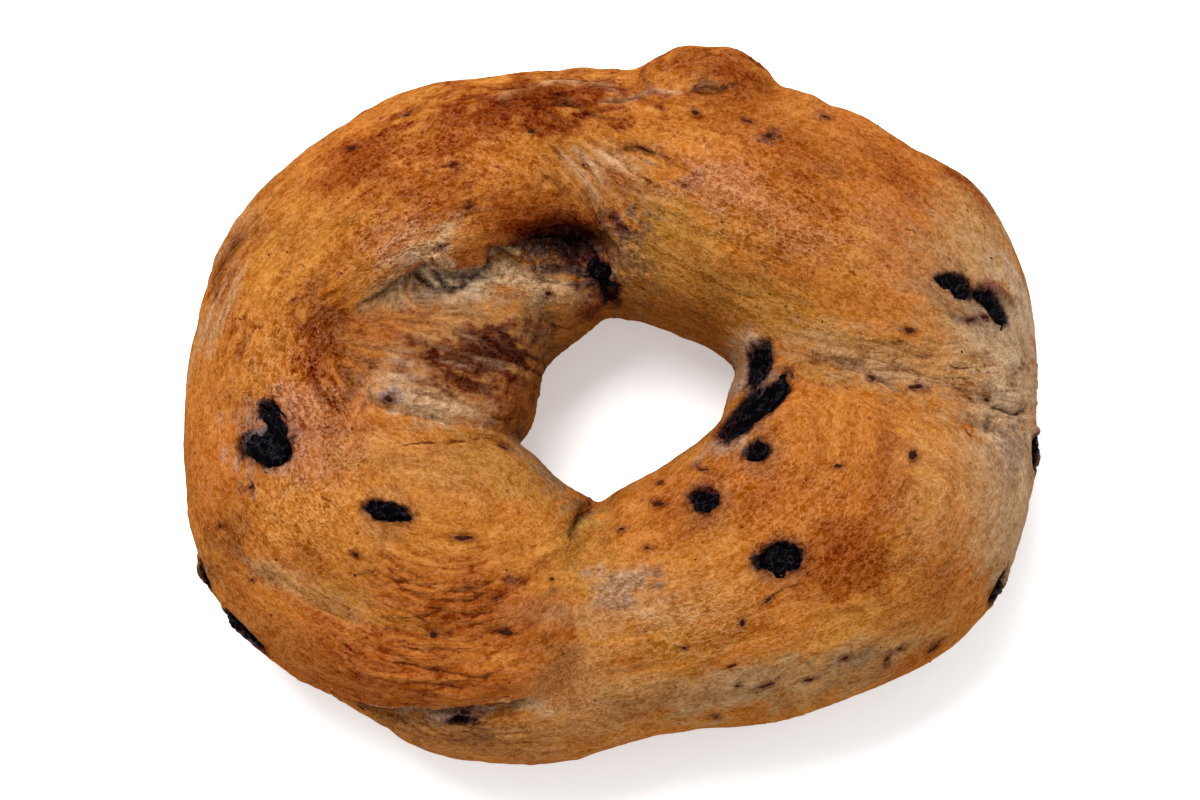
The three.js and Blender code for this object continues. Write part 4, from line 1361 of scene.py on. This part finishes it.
FLECK_THICKNESS = 0.35 * MM
FLECK_SINK = 0.25           # how much of its thickness the middle lies under the skin
LUMPINESS, LUMPS = 0.35, 2.1
STRIDE = 500                # from one crumb's stretch of noise to the next's, for each metre
CRUMBS = 220
CRUMB_LENGTHS = (0.2, 0.6)          # mm
CRUMB_SHAPES = (0.35, 0.8)          # width over length
UNDERSIDE = -0.4            # skin that faces down more than this gets none

bpy.context.view_layer.update()
crust_tree = BVHTree.FromObject(dough, bpy.context.evaluated_depsgraph_get())
flecks = bmesh.new()


def add_fleck(place, outward, along, length, width):
    """A lumpy flat crumb on the skin, with its length about along a direction."""
    sideways = outward.cross(along).normalized()
    along = sideways.cross(outward)
    turn = Matrix((along, sideways, outward)).transposed().to_4x4()
    sizes = Matrix.Diagonal((length / 2, width / 2, FLECK_THICKNESS / 2, 1))
    sunk = place - outward * FLECK_SINK * FLECK_THICKNESS
    made = bmesh.ops.create_icosphere(flecks, subdivisions=2, radius=1)["verts"]
    for vert in made:
        vert.co *= 1 + LUMPINESS * noise.noise(LUMPS * vert.co + STRIDE * sunk)
    bmesh.ops.transform(flecks, matrix=Matrix.Translation(sunk) @ turn @ sizes, verts=made)


for across, down, length, width, tilt in FLECKS:
    place, outward, _, _ = crust_tree.ray_cast(EYE, sight_line(across, down))
    if place is None:
        continue
    turn = math.radians(tilt)
    along = math.cos(turn) * Vector((1, 0, 0)) + math.sin(turn) * UPWARD
    add_fleck(place, outward, along, length / POINTS_PER_MM * MM, width / POINTS_PER_MM * MM)

draw = random.Random(8)
skin_places = places_of(dough.data)
skin_normals = normals_of(dough.data)
for _ in range(CRUMBS):
    i = draw.randrange(len(skin_places))
    outward = Vector(skin_normals[i])
    if outward.z < UNDERSIDE:
        continue
    length = draw.uniform(*CRUMB_LENGTHS) * MM
    along = Vector((draw.uniform(-1, 1), draw.uniform(-0.5, 0.5), 0.1))
    add_fleck(Vector(skin_places[i]), outward, along, length, length * draw.uniform(*CRUMB_SHAPES))
berry_flecks = bpy.data.objects.new("berry_flecks", bpy.data.meshes.new("berry_flecks"))
flecks.to_mesh(berry_flecks.data)
scene.collection.objects.link(berry_flecks)
berry_flecks.data.materials.append(crumb_brown)
berry_flecks.data.shade_smooth()
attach(berry_flecks, "root")

# ---- The table and the light ----
# A plain white table top in a pale studio, lit by one large soft lamp that hangs high up behind
# the bagel and to its left. The table glows a little, so that its white stays clean.

TABLE_WHITE = (0.88, 0.9, 0.91, 1)
TABLE_GLOW = 0.34
STUDIO_LIGHT = 0.78
LAMP_PLACE = (-0.20, 0.36, 0.77)                    # m
LAMP_SIZE, LAMP_POWER = 0.5, 10.5                   # m and watts

table = bpy.data.objects.new("table", bpy.data.meshes.new("table"))
top = bmesh.new()
bmesh.ops.create_grid(top, x_segments=1, y_segments=1, size=2)
top.to_mesh(table.data)
scene.collection.objects.link(table)
white, nodes, links = new_material("white_table_top")
bsdf = nodes["Principled BSDF"]
bsdf.inputs["Base Color"].default_value = TABLE_WHITE
bsdf.inputs["Roughness"].default_value = 0.9
bsdf.inputs["Emission Color"].default_value = (1, 1, 1, 1)
bsdf.inputs["Emission Strength"].default_value = TABLE_GLOW
table.data.materials.append(white)

scene.world = bpy.data.worlds.new("studio")
scene.world.use_nodes = True
background = scene.world.node_tree.nodes["Background"]
background.inputs["Color"].default_value = (1, 1, 1, 1)
background.inputs["Strength"].default_value = STUDIO_LIGHT
lamp = bpy.data.lights.new("softbox", "AREA")
lamp.size = LAMP_SIZE
lamp.energy = LAMP_POWER
softbox = bpy.data.objects.new("softbox", lamp)
softbox.location = LAMP_PLACE
softbox.rotation_euler = (-softbox.location).to_track_quat("-Z", "Y").to_euler()
scene.collection.objects.link(softbox)
scene.view_settings.view_transform = "Standard"
